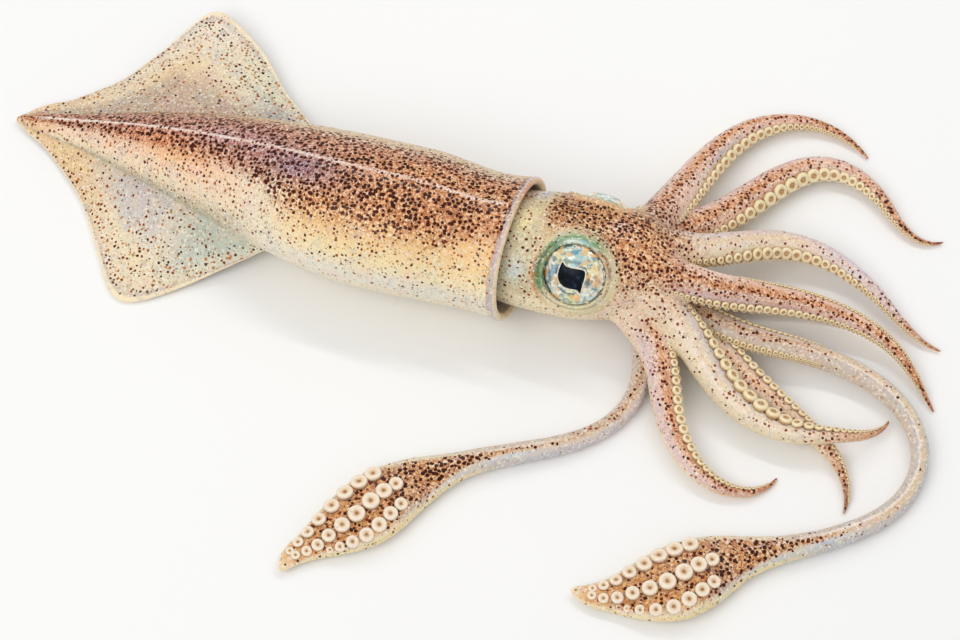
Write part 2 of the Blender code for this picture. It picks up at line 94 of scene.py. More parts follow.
# ---- Fins: (station, side place, height) along the outer edge ----
FIN_EDGES = {
    "fin_left": (
        (0.0008, 0.0020, 0.0018),
        (0.0050, 0.0076, 0.0022),
        (0.0100, 0.0115, 0.0028),
        (0.0186, 0.0172, 0.0030),
        (0.0314, 0.0300, 0.0040),
        (0.0412, 0.0460, 0.0060),
        (0.0478, 0.0602, 0.0075),
        (0.0520, 0.0668, 0.0080),
        (0.0581, 0.0676, 0.0080),
        (0.0745, 0.0592, 0.0060),
        (0.0919, 0.0437, 0.0050),
        (0.1060, 0.0320, 0.0080),
        (0.1150, 0.0170, 0.0110),
    ),
    "fin_right": (
        (0.0008, 0.0004, 0.0018),
        (0.0060, -0.0032, 0.0015),
        (0.0178, -0.0092, 0.0011),
        (0.0362, -0.0233, 0.0010),
        (0.0506, -0.0409, 0.0009),
        (0.0600, -0.0535, 0.0009),
        (0.0672, -0.0575, 0.0009),
        (0.0750, -0.0546, 0.0010),
        (0.0855, -0.0458, 0.0020),
        (0.1026, -0.0299, 0.0050),
        (0.1110, -0.0230, 0.0080),
        (0.1180, -0.0140, 0.0110),
    ),
}
FIN_ROOT_DEPTH = 0.5
FIN_ROOT_HEIGHT = 0.95
FIN_DROOP = 1.3
FIN_ROOT_THICKNESS = 0.0022
FIN_EDGE_THICKNESS = 0.0009
FIN_RIM = 0.00085  # radius of the thick rim
FIN_ROWS = 260
FIN_COLUMNS = 64

# ---- Head ----
HEAD_HALF_WIDTH = (
    (0.1865, 0.0205),
    (0.1950, 0.0212),
    (0.2070, 0.0226),
    (0.2190, 0.0228),
    (0.2300, 0.0220),
    (0.2400, 0.0200),
    (0.2500, 0.0140),
)
HEAD_FRONT = 0.2560
HEAD_SWAY = (
    (0.1865, 0.0),
    (0.1980, 0.0012),
    (0.2080, 0.0026),
    (0.2190, 0.0036),
    (0.2300, 0.0050),
    (0.2420, 0.0074),
    (0.2560, 0.0092),
)
HEAD_HEIGHT = 0.0220
HEAD_FLATNESS = 0.86

# ---- Eyes ----
EYE_STATION = 0.2233
EYE_ANGLES = {1: 75.0, -1: 49.0}
EYE_RADIUS = 0.0120
EYE_DEPTH = 0.0080
EYE_OUT = 0.0165
LID_RADIUS = 0.0150
LID_DEPTH = 0.0080
LID_OUT = 0.0148

# ---- Funnel ----
FUNNEL_START = (0.205, 0.0030, 0.0052)
FUNNEL_END = (0.232, 0.0045, 0.0046)
FUNNEL_RADII = (0.0085, 0.0042)
FUNNEL_FLATNESS = 0.55

# ---- Arms and tentacles ----
TIP_RADIUS = 0.0004
ARM_TAPER = 1.3
LIMB_SINK = 0.0004
PATH_STEPS = 200


@dataclass
class Limb:
    """The path of an arm or a tentacle: bends are degrees per centimetre."""

    root: tuple
    heading: float
    length: float
    bends: tuple
    heights: tuple
    width: float


ARMS = {
    "arm_left_1": Limb(
        root=(0.2397, 0.0131),
        heading=22.0,
        length=0.1254,
        bends=(-2.7, 14.6, -20.2, -13.3, -3.2, 29.3),
        heights=(0.029, 0.020, 0.010, 0.006, 0.004, 0.001),
        width=0.0140,
    ),
    "arm_left_2": Limb(
        root=(0.2383, 0.0184),
        heading=79.4,
        length=0.1227,
        bends=(-2.7, 2.1, -5.5, -15.2, -19.7, -15.4),
        heights=(0.022, 0.014, 0.008, 0.005, 0.003, 0.001),
        width=0.0160,
    ),
    "arm_left_3": Limb(
        root=(0.2410, 0.0229),
        heading=48.8,
        length=0.1335,
        bends=(-2.4, 6.5, -3.7, -31.0, -8.1, 73.5),
        heights=(0.013, 0.009, 0.006, 0.004, 0.003, 0.001),
        width=0.0145,
    ),
    "arm_left_4": Limb(
        root=(0.2452, 0.0164),
        heading=2.1,
        length=0.0789,
        bends=(-1.3, 5.7, -0.9, -7.4, -6.0),
        heights=(0.009, 0.006, 0.005, 0.0035, 0.0025, 0.001),
        width=0.0110,
    ),
    "arm_right_1": Limb(
        root=(0.2409, 0.0039),
        heading=7.3,
        length=0.1242,
        bends=(-6.4, 11.4, -5.7, -9.4, -16.4, 5.0),
        heights=(0.031, 0.024, 0.015, 0.009, 0.005, 0.001),
        width=0.0145,
    ),
    "arm_right_2": Limb(
        root=(0.2445, -0.0005),
        heading=-8.8,
        length=0.1139,
        bends=(-14.2, -7.8, 8.7, 15.4, 9.5, 47.2),
        heights=(0.024, 0.015, 0.009, 0.008, 0.009, 0.002),
        width=0.0150,
    ),
    "arm_right_3": Limb(
        root=(0.2384, -0.0061),
        heading=-19.4,
        length=0.1011,
        bends=(-3.7, -23.6, 7.5, 14.7, 28.8, 44.8),
        heights=(0.019, 0.011, 0.007, 0.005, 0.003, 0.001),
        width=0.0140,
    ),
    "arm_right_4": Limb(
        root=(0.2523, 0.0008),
        heading=-11.5,
        length=0.1041,
        bends=(-2.9, -8.7, 5.5, -0.3, -17.5, -34.2),
        heights=(0.009, 0.0065, 0.0055, 0.004, 0.003, 0.001),
        width=0.0145,
    ),
}
TENTACLES = {
    "tentacle_left": Limb(
        root=(0.2544, 0.0029),
        heading=-8.8,
        length=0.2537,
        bends=(0.1, 7.2, -6.4, -13.4, -22.7, -13.0, 0.5, 1.7, -5.8, -17.6),
        heights=(0.014, 0.010, 0.007, 0.005, 0.004, 0.0025, 0.0025, 0.0025, 0.0025, 0.0025),
        width=0.0100,
    ),
    "tentacle_right": Limb(
        root=(0.2485, -0.0104),
        heading=-61.6,
        length=0.1677,
        bends=(-7.7, -21.4, -11.3, -0.7, 11.3, -4.3, 3.8, 22.8),
        heights=(0.007, 0.0036, 0.0025, 0.0025, 0.0025, 0.0025, 0.0025, 0.0025),
        width=0.0070,
    ),
}
STALK_RADIUS = 0.0032
STALK_THINS = 0.45
CLUB_SHAPE = {  # distance from the tip, half width, shift to the left
    "tentacle_left": (
        (0.000, 0.0010, 0.0000),
        (0.004, 0.0030, 0.0004),
        (0.008, 0.0046, 0.0004),
        (0.014, 0.0066, 0.0000),
        (0.020, 0.0092, 0.0000),
        (0.028, 0.0122, 0.0006),
        (0.036, 0.0138, 0.0006),
        (0.044, 0.0134, -0.0002),
        (0.052, 0.0116, -0.0012),
        (0.060, 0.0088, -0.0016),
        (0.068, 0.0064, -0.0010),
        (0.076, 0.0050, -0.0002),
        (0.086, 0.0042, 0.0004),
        (0.100, 0.0038, 0.0002),
        (0.140, 0.0032, 0.0000),
    ),
    "tentacle_right": (
        (0.000, 0.0010, 0.0000),
        (0.004, 0.0031, -0.0002),
        (0.008, 0.0044, 0.0003),
        (0.014, 0.0060, 0.0012),
        (0.020, 0.0082, 0.0014),
        (0.028, 0.0109, 0.0014),
        (0.036, 0.0127, 0.0008),
        (0.044, 0.0127, -0.0003),
        (0.052, 0.0111, -0.0011),
        (0.060, 0.0090, -0.0007),
        (0.068, 0.0066, 0.0002),
        (0.076, 0.0050, 0.0006),
        (0.086, 0.0042, 0.0005),
        (0.100, 0.0038, 0.0001),
        (0.130, 0.0033, 0.0000),
    ),
}
CLUB_FLATNESS = 0.36
CLUB_ROUND = (0.050, 0.090)


# ---- Curves and sums ----


def smooth_through(knots):
    """A smooth function of an array of places through (place, value, ...) knots."""
    places = np.array([knot[0] for knot in knots], float)
    values = np.array([knot[1:] for knot in knots], float)
    slopes = np.gradient(values, places, axis=0)

    def value(place):
        place = np.clip(np.asarray(place, float), places[0], places[-1])
        left = np.clip(np.searchsorted(places, place, side="right") - 1, 0, len(places) - 2)
        span = (places[left + 1] - places[left])[..., None]
        t = (place - places[left])[..., None] / span
        rise = t * t * (3 - 2 * t)
        result = (
            values[left] * (1 - rise)
            + values[left + 1] * rise
            + slopes[left] * span * t * (1 - t) ** 2
            - slopes[left + 1] * span * t * t * (1 - t)
        )
        return result[..., 0] if values.shape[1] == 1 else result

    return value


def ease(value, low, high):
    """0 up to low, 1 from high on, and smooth between."""
    t = np.clip((np.asarray(value, float) - low) / (high - low), 0.0, 1.0)
    return t * t * (3 - 2 * t)


def hill(value, middle, width):
    """1 at the middle, falling off smoothly on both sides."""
    return np.exp(-(((np.asarray(value, float) - middle) / width) ** 2))


def linear(colour):
    """A colour as the eye names it, made linear for the shaders."""
    colour = np.asarray(colour, float)
    return np.where(colour <= 0.04045, colour / 12.92, ((colour + 0.055) / 1.055) ** 2.4)


def waviness(points, wavelength, seed):
    """Smooth noise from -1 to 1 at each point of an array of points."""
    flat = points.reshape(-1, 3) / wavelength + seed * 17.3
    return np.array([noise.noise(Vector(point)) for point in flat]).reshape(points.shape[:-1])


mantle_half_width = smooth_through(MANTLE_HALF_WIDTH)
mantle_sway = smooth_through(MANTLE_SWAY)
head_half_width = smooth_through(HEAD_HALF_WIDTH)
head_sway = smooth_through(HEAD_SWAY)
club_shape = {name: smooth_through(knots) for name, knots in CLUB_SHAPE.items()}

tail_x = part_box("mantle")[0].x
right_eye_side = sum(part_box("eye_right"), Vector()).y / 2 + math.sin(math.radians(EYE_ANGLES[-1])) * EYE_OUT
side_zero = right_eye_side - float(head_sway(EYE_STATION))


def in_row(station, side, height):
    """Points in the row frame from stations, side places and heights."""
    station, side, height = np.broadcast_arrays(station, side, height)
    return np.stack([station + tail_x, side + side_zero, height], axis=-1)


# ---- Paint: colour and pigment, laid on point by point ----


class Paint:
    """The colour of a piece's skin and how thickly its pigment spots lie, at each point."""

    def __init__(self, shape, colour, spots=0.0, specks=0.0):
        self.tint = np.ones((*shape, 3)) * linear(colour)
        self.spots = np.full(shape, float(spots))
        self.specks = np.full(shape, float(specks))

    def wash(self, colour, strength):
        """Lays a colour over what is there, more where its strength nears 1."""
        strength = np.clip(strength, 0.0, 1.0)[..., None]
        self.tint += (linear(colour) - self.tint) * strength

    def values(self):
        """The paint as mesh attributes."""
        return {
            "tint": self.tint,
            "spots": np.clip(self.spots, 0.0, 1.0),
            "specks": np.clip(self.specks, 0.0, 1.0),
        }


# ---- Meshes ----


def set_values(mesh, values):
    """Stores numbers and colours on a mesh's points."""
    for name, array in values.items():
        if array.shape[-1] == 3 and array.ndim > 1 and array.size == 3 * len(mesh.vertices):
            layer = mesh.attributes.new(name, "FLOAT_COLOR", "POINT")
            colours = np.ones((len(mesh.vertices), 4), np.float32)
            colours[:, :3] = array.reshape(-1, 3)
            layer.data.foreach_set("color", colours.ravel())
        else:
            layer = mesh.attributes.new(name, "FLOAT", "POINT")
            layer.data.foreach_set("value", array.astype(np.float32).ravel())


def grid_faces(rows, columns, closed):
    """Quads between the points of a grid whose rows may be closed rings."""
    row = np.arange(rows - 1)[:, None] * columns
    column = np.arange(columns if closed else columns - 1)[None, :]
    after = (column + 1) % columns
    corners = [row + column, row + after, row + columns + after, row + columns + column]
    return np.stack(corners, axis=-1).reshape(-1, 4).tolist()


def with_poles(array):
    """A grid's values in one list, with the mean of the first and last ring at the end."""
    ends = np.stack([array[0].mean(axis=0), array[-1].mean(axis=0)])
    flat = array.reshape(-1, *array.shape[2:])
    return np.concatenate([flat, ends])


def loft_mesh(name, points, values=None):
    """A closed mesh through rings of points, with a pole at each end."""
    rows, columns = points.shape[:2]
    first_pole = rows * columns
    last_pole = first_pole + 1
    faces = grid_faces(rows, columns, closed=True)
    for i in range(columns):
        after = (i + 1) % columns
        faces.append((first_pole, after, i))
        faces.append((last_pole, (rows - 1) * columns + i, (rows - 1) * columns + after))
    mesh = bpy.data.meshes.new(name)
    mesh.from_pydata(with_poles(points).tolist(), [], faces)
    if values:
        set_values(mesh, {key: with_poles(array) for key, array in values.items()})
    return mesh


def face_outwards(mesh):
    """Recalculates the faces of closed bodies to point out, and shades them smooth."""
    shape = bmesh.new()
    shape.from_mesh(mesh)
    bmesh.ops.recalc_face_normals(shape, faces=shape.faces)
    shape.to_mesh(mesh)
    shape.free()
    mesh.shade_smooth()


def add_piece(name, mesh):
    """An object at the origin with a finished mesh."""
    piece = bpy.data.objects.new(name, mesh)
    bpy.context.scene.collection.objects.link(piece)
    return piece


def evaluated_piece(obj, name):
    """A plain mesh object of what an object's modifiers make; the first object is removed."""
    bpy.context.view_layer.update()
    graph = bpy.context.evaluated_depsgraph_get()
    mesh = bpy.data.meshes.new_from_object(obj.evaluated_get(graph))
    mesh.name = name
    bpy.data.objects.remove(obj)
    return add_piece(name, mesh)


def mesh_points(mesh):
    """The places of a mesh's points as an array."""
    places = np.zeros(len(mesh.vertices) * 3, np.float32)
    mesh.vertices.foreach_get("co", places)
    return places.reshape(-1, 3).astype(float)


def mesh_normals(mesh):
    """The normals at a mesh's points as an array."""
    normals = np.zeros(len(mesh.vertices) * 3, np.float32)
    mesh.vertices.foreach_get("normal", normals)
    return normals.reshape(-1, 3).astype(float)


def set_points(mesh, points):
    mesh.vertices.foreach_set("co", points.astype(np.float32).ravel())
    mesh.update()


def relax(mesh, weight, rounds):
    """Moves each point towards the mean of its neighbours, by its own weight."""
    edges = np.zeros(len(mesh.edges) * 2, np.int32)
    mesh.edges.foreach_get("vertices", edges)
    first, second = edges.reshape(-1, 2).T
    count = len(mesh.vertices)
    degree = np.bincount(first, minlength=count) + np.bincount(second, minlength=count)
    points = mesh_points(mesh)
    for _ in range(rounds):
        total = np.empty_like(points)
        for axis in range(3):
            there = np.bincount(first, points[second, axis], count)
            back = np.bincount(second, points[first, axis], count)
            total[:, axis] = there + back
        points += (total / degree[:, None] - points) * weight[:, None]
    set_points(mesh, points)


# ---- Finishes ----


class Finish:
    """Builds one material's nodes around its Principled shader."""

    def __init__(self, name, **sockets):
        self.material = bpy.data.materials.new(name)
        self.material.use_nodes = True
        self.tree = self.material.node_tree
        self.shader = self.tree.nodes["Principled BSDF"]
        for socket, value in sockets.items():
            self.shader.inputs[socket.replace("_", " ")].default_value = value
        self.place = self.node("ShaderNodeTexCoord").outputs["Object"]

    def node(self, kind, **settings):
        made = self.tree.nodes.new(kind)
        for key, value in settings.items():
            setattr(made, key, value)
        return made

    def feed(self, socket, value):
        """Links a node's output to a socket, or sets the socket to a number."""
        if isinstance(value, bpy.types.NodeSocket):
            self.tree.links.new(value, socket)
        else:
            socket.default_value = value

    def sum(self, operation, first, second=0.0, third=0.0):
        made = self.node("ShaderNodeMath", operation=operation)
        for socket, value in zip(made.inputs, (first, second, third)):
            self.feed(socket, value)
        return made.outputs[0]

    def vector(self, operation, first, second):
        made = self.node("ShaderNodeVectorMath", operation=operation)
        for socket, value in zip(made.inputs, (first, second)):
            self.feed(socket, value)
        return made.outputs[0]

    def painted(self, name):
        """A number painted on the mesh."""
        return self.node("ShaderNodeAttribute", attribute_name=name).outputs["Fac"]

    def painted_colour(self, name):
        return self.node("ShaderNodeAttribute", attribute_name=name).outputs["Color"]

    def clouds(self, scale, detail=3.0, place=None, stretch=None):
        """Soft noise; its value and its colour."""
        place = place or self.place
        if stretch:
            mapping = self.node("ShaderNodeMapping")
            mapping.inputs["Scale"].default_value = stretch
            self.feed(mapping.inputs["Vector"], place)
            place = mapping.outputs[0]
        made = self.node("ShaderNodeTexNoise")
        self.feed(made.inputs["Vector"], place)
        made.inputs["Scale"].default_value = scale
        made.inputs["Detail"].default_value = detail
        return made.outputs["Fac"], made.outputs["Color"]

    def cells(self, scale, place=None, scatter=1.0):
        """Scattered cells: the distance from the nearest middle, and a colour for each cell."""
        made = self.node("ShaderNodeTexVoronoi")
        self.feed(made.inputs["Vector"], place or self.place)
        made.inputs["Scale"].default_value = scale
        made.inputs["Randomness"].default_value = scatter
        return made.outputs["Distance"], made.outputs["Color"]

    def fade(self, value, low, high, start=0.0, end=1.0):
        """A smooth change from start to end as a value goes from low to high."""
        made = self.node("ShaderNodeMapRange", interpolation_type="SMOOTHSTEP")
        for socket, given in zip(made.inputs, (value, low, high, start, end)):
            self.feed(socket, given)
        return made.outputs[0]

    def ramp(self, value, stops):
        """Colours by a value, from (place, colour) stops."""
        made = self.node("ShaderNodeValToRGB")
        elements = made.color_ramp.elements
        while len(elements) < len(stops):
            elements.new(0.5)
        for element, (place, colour) in zip(elements, stops):
            element.position = place
            element.color = (*linear(colour), 1.0)
        self.feed(made.inputs[0], value)
        return made.outputs["Color"]

    def mix(self, below, above, strength, blend="MIX"):
        """One colour laid over another."""
        made = self.node("ShaderNodeMix", data_type="RGBA", blend_type=blend)
        self.feed(made.inputs["Factor"], strength)
        colours = [socket for socket in made.inputs if socket.type == "RGBA"]
        for socket, colour in zip(colours, (below, above)):
            if isinstance(colour, tuple):
                colour = (*linear(colour), 1.0)
            self.feed(socket, colour)
        return [socket for socket in made.outputs if socket.type == "RGBA"][0]

    def relief(self, height, distance, strength=1.0):
        """Fine relief that bends the light."""
        made = self.node("ShaderNodeBump")
        made.inputs["Strength"].default_value = strength
        made.inputs["Distance"].default_value = distance
        self.feed(made.inputs["Height"], height)
        self.feed(self.shader.inputs["Normal"], made.outputs[0])


# ---- Skins ----

PEARL = (
    (0.00, (0.62, 0.64, 0.76)),
    (0.25, (0.72, 0.82, 0.82)),
    (0.42, (0.88, 0.89, 0.74)),
    (0.56, (0.96, 0.87, 0.66)),
    (0.75, (0.96, 0.76, 0.60)),
    (1.00, (0.84, 0.70, 0.78)),
)
SPOT_BROWNS = (
    (0.00, (0.19, 0.05, 0.01)),
    (0.40, (0.30, 0.09, 0.02)),
    (0.75, (0.46, 0.17, 0.05)),
    (1.00, (0.60, 0.28, 0.10)),
)
SPECK_BROWNS = (
    (0.00, (0.22, 0.12, 0.08)),
    (0.40, (0.46, 0.21, 0.08)),
    (0.75, (0.76, 0.44, 0.19)),
    (1.00, (0.66, 0.56, 0.32)),
)
NET = (0.74, 0.52, 0.38)  # what the net's lines do to the colour under them
# Colour of the pale flecks: partly pale skin flecks, partly painted glints.
FLECK_AND_GLINT = (0.99, 0.95, 0.87)


def spot_layer(skin, place, scale, density, size, soft, crowding):
    """Pigment cells: a mask of spots that grow and crowd as the density rises."""
    distance, chance = skin.cells(scale, place, 0.80)
    split = skin.node("ShaderNodeSeparateColor")
    skin.feed(split.inputs[0], chance)
    there = skin.sum("LESS_THAN", split.outputs[0], skin.sum("MULTIPLY", density, crowding))
    grown = skin.sum("MULTIPLY_ADD", density, 0.40 * size, 0.60 * size)
    varied = skin.sum("MULTIPLY", grown, skin.sum("MULTIPLY_ADD", split.outputs[1], 0.40, 0.72))
    edge = skin.sum("ADD", varied, soft)
    mask = skin.fade(distance, varied, edge, 1.0, 0.0)
    return skin.sum("MULTIPLY", mask, there), split.outputs[2]


def squid_skin(name, spot_scale=610.0, pearl=0.30, net=0.85, relief=0.00012):
    """Wet translucent skin: painted colour, a pearly sheen, a brown net, spots and specks."""
    skin = Finish(
        name,
        Specular_IOR_Level=0.14,
        Coat_Weight=0.12,
        Coat_Roughness=0.10,
        Subsurface_Weight=0.05,
        Subsurface_Scale=0.0012,
    )
    skin.shader.inputs["Subsurface Radius"].default_value = (1.0, 0.55, 0.35)
    density = skin.painted("spots")
    specks = skin.painted("specks")

    wander, wander_colour = skin.clouds(900.0, 2.0)
    shift = skin.vector("SUBTRACT", wander_colour, (0.5, 0.5, 0.5))
    shift = skin.vector("MULTIPLY", shift, (0.0008, 0.0008, 0.0008))
    place = skin.vector("ADD", skin.place, shift)

    hue, _ = skin.clouds(110.0, 4.0)
    sheen, _ = skin.clouds(420.0, 3.0)
    strength = skin.sum("MULTIPLY", skin.fade(sheen, 0.42, 0.66), pearl)
    strength = skin.sum("MULTIPLY", strength, skin.sum("MULTIPLY_ADD", density, -0.6, 1.0))
    pearl_colour = skin.ramp(skin.fade(hue, 0.30, 0.70), PEARL)
    colour = skin.mix(skin.painted_colour("tint"), pearl_colour, strength)

    mottle, _ = skin.clouds(1000.0, 2.0)
    pale = skin.sum("MULTIPLY_ADD", density, -0.10, 0.62)
    # Pale flecks strewn by the mottling, partly painted glints.
    colour = skin.mix(colour, FLECK_AND_GLINT, skin.sum("MULTIPLY", skin.fade(mottle, 0.53, 0.66), pale))
    veins, _ = skin.clouds(620.0, 3.0, stretch=(1.0, 0.45, 1.0))
    colour = skin.mix(colour, (0.58, 0.47, 0.38), skin.fade(veins, 0.42, 0.30, 0.0, 0.34))

    worms, _ = skin.clouds(600.0, 2.0, skin.vector("ADD", skin.place, (0.31, 0.17, 0.05)))
    from_line = skin.sum("ABSOLUTE", skin.sum("SUBTRACT", worms, 0.5))
    line = skin.fade(from_line, 0.02, 0.10, 1.0, 0.0)
    line = skin.sum("MULTIPLY", line, skin.sum("MULTIPLY", skin.fade(density, 0.04, 0.80), net))
    colour = skin.mix(colour, NET, line, "MULTIPLY")
    shade = skin.sum("MULTIPLY", skin.fade(mottle, 0.50, 0.36), skin.sum("MULTIPLY", density, 0.25 * net))
    colour = skin.mix(colour, NET, shade, "MULTIPLY")

    big, big_hue = spot_layer(skin, place, spot_scale, density, 0.45, 0.07, 1.9)
    rustier = skin.sum("MULTIPLY_ADD", density, -0.30, 0.30)
    big_hue = skin.sum("MULTIPLY_ADD", big_hue, skin.sum("SUBTRACT", 1.25, density), rustier)
    few = skin.sum("MULTIPLY_ADD", density, 0.35, 0.03)
    small, small_hue = spot_layer(skin, place, spot_scale * 1.7, few, 0.36, 0.12, 1.5)
    speck, speck_hue = spot_layer(skin, place, spot_scale, specks, 0.34, 0.07, 1.25)
    fleck, fleck_hue = spot_layer(skin, place, spot_scale * 1.6, specks, 0.30, 0.10, 1.2)

    colour = skin.mix(colour, skin.ramp(fleck_hue, SPECK_BROWNS), skin.sum("MULTIPLY", fleck, 0.55))
    colour = skin.mix(colour, skin.ramp(small_hue, SPOT_BROWNS[1:]), skin.sum("MULTIPLY", small, 0.70))
    colour = skin.mix(colour, skin.ramp(speck_hue, SPECK_BROWNS), speck)
    colour = skin.mix(colour, skin.ramp(big_hue, SPOT_BROWNS), big)
    skin.feed(skin.shader.inputs["Base Color"], colour)

    skin.feed(skin.shader.inputs["Roughness"], skin.fade(sheen, 0.2, 0.8, 0.30, 0.48))
    bumps = skin.sum("MULTIPLY_ADD", wander, 0.6, skin.sum("MULTIPLY", mottle, 0.4))
    skin.relief(bumps, relief)
    return skin.material


def flesh(name, roughness=0.38, wet=0.4, scale=1400.0):
    """Pale wet flesh in the painted colour, with fine mottling."""
    skin = Finish(
        name,
        Specular_IOR_Level=0.5,
        Coat_Weight=wet,
        Coat_Roughness=0.15,
        Subsurface_Weight=0.15,
        Subsurface_Scale=0.0012,
    )
    skin.shader.inputs["Subsurface Radius"].default_value = (1.0, 0.6, 0.4)
    mottle, _ = skin.clouds(scale, 2.0)
    colour = skin.mix(
        skin.painted_colour("tint"), (0.99, 0.96, 0.90), skin.fade(mottle, 0.52, 0.75, 0.0, 0.4)
    )
    colour = skin.mix(colour, (0.62, 0.44, 0.30), skin.fade(mottle, 0.44, 0.25, 0.0, 0.3))
    skin.feed(skin.shader.inputs["Base Color"], colour)
    skin.feed(skin.shader.inputs["Roughness"], skin.fade(mottle, 0.3, 0.7, roughness, roughness + 0.12))
    skin.relief(mottle, 0.0001)
    return skin.material


# ---- Mantle ----


def mantle_profile():
    """Stations, half widths and shares of the tail's rounding from the tip into the collar."""
    tail = 0.0012
    round_tail = tail * (1 - np.cos(np.linspace(0.12, math.pi / 2, 8)))
    lip_middle = MANTLE_LENGTH - LIP_RADIUS
    back_angle = math.radians(130.0)
    crease = lip_middle + LIP_RADIUS * math.cos(back_angle)
    outside = np.concatenate([round_tail, np.linspace(tail, crease, MANTLE_RINGS)[1:-1]])
    half_width = mantle_half_width(outside)
    inside_tail = outside < tail
    half_width[inside_tail] *= np.sqrt(1 - (1 - outside[inside_tail] / tail) ** 2)
    half_width -= LIP_CREASE * ease(outside, crease - 0.0014, crease)
    lip_angle = np.linspace(back_angle, -math.pi / 2, 14)
    lip = lip_middle + LIP_RADIUS * np.cos(lip_angle)
    lip_half_width = mantle_half_width(lip) - WALL / 2 + LIP_RADIUS * np.sin(lip_angle)
    inside = np.linspace(lip_middle - 0.001, MANTLE_LENGTH - COLLAR_DEPTH, 14)
    inside_half_width = mantle_half_width(inside) - WALL
    stations = np.concatenate([outside, lip, inside])
    return stations, np.concatenate([half_width, lip_half_width, inside_half_width]), len(outside)


def mantle_paint(station, angle):
    """The mantle's colours: dark along the back, orange and yellow below it, pale flanks."""
    s = station * 1000
    a = angle
    front = ease(s, 105, 130)
    rear = 1 - ease(s, 90, 112)
    paint = Paint(s.shape, (0.93, 0.88, 0.78))
    paint.wash((0.95, 0.90, 0.76), ease(-a, 95, 125))
    paint.wash((0.90, 0.87, 0.80), ease(np.abs(a), 125, 150))
    paint.wash((0.66, 0.65, 0.57), 0.85 * hill(a, -86, 24) * rear)
    paint.wash((0.87, 0.87, 0.84), 0.7 * hill(a, -84, 14) * front)
    paint.wash((0.96, 0.86, 0.72), 0.8 * hill(a, -58, 20) * rear)
    paint.wash((0.99, 0.90, 0.68), 0.8 * hill(a, -60, 16) * front)
    paint.wash((0.96, 0.80, 0.55), 0.85 * hill(a, -42, 16) * front)
    paint.wash((0.95, 0.80, 0.68), 0.85 * hill(a, -36, 18) * rear)
    paint.wash((0.94, 0.72, 0.46), 0.9 * hill(a, -24, 18) * front)
    paint.wash((0.86, 0.66, 0.54), 0.9 * ease(a, -34, -10) * (1 - ease(a, 26, 46)))
    paint.wash((0.78, 0.58, 0.49), 0.8 * ease(a, -20, 0) * (1 - ease(a, 60, 80)) * (1 - ease(s, 90, 130)))
    paint.wash((0.94, 0.72, 0.50), 0.75 * ease(a, -34, -14) * (1 - ease(a, 14, 34)) * ease(s, 125, 160))
    paint.wash((0.84, 0.72, 0.54), 0.85 * ease(a, 32, 50))
    paint.wash((0.62, 0.58, 0.74), 0.8 * hill(a, -6, 12) * hill(s, 117, 13))
    paint.wash((0.82, 0.70, 0.76), 0.6 * hill(a, 8, 16) * hill(s, 92, 28))
    paint.wash((0.94, 0.62, 0.42), 0.7 * hill(a, -12, 16) * hill(s, 62, 18))
    paint.wash((0.97, 0.72, 0.46), 0.7 * hill(a, -30, 12) * hill(s, 72, 14))
    paint.wash((0.90, 0.66, 0.44), 0.7 * (1 - ease(s, 4, 22)))
    paint.wash((0.94, 0.84, 0.66), 0.7 * (1 - ease(s, 0, 5)))
    low = -24 - 20 * ease(s, 95, 118) + 12 * ease(s, 172, 190)
    high = 32 + 26 * (1 - ease(s, 40, 110))
    band = ease(a, low - 18, low + 18) * (1 - ease(a, high, high + 26))
    body = 0.80 + 0.20 * ease(s, 8, 50)
    core = 0.60 + 0.40 * hill(a, -2, 34)
    collar = 1 - 0.55 * ease(s, 176, 192) * ease(-a, 6, 30)
    sparse = 0.16 * ease(a, low - 50, low) * (1 - ease(a, 60, 90))
    paint.spots = np.maximum(band * body * core * collar, sparse)
    paint.specks = 0.42 * ease(a, -116, -70) * (1 - ease(a, 70, 100)) + 0.10
    return paint


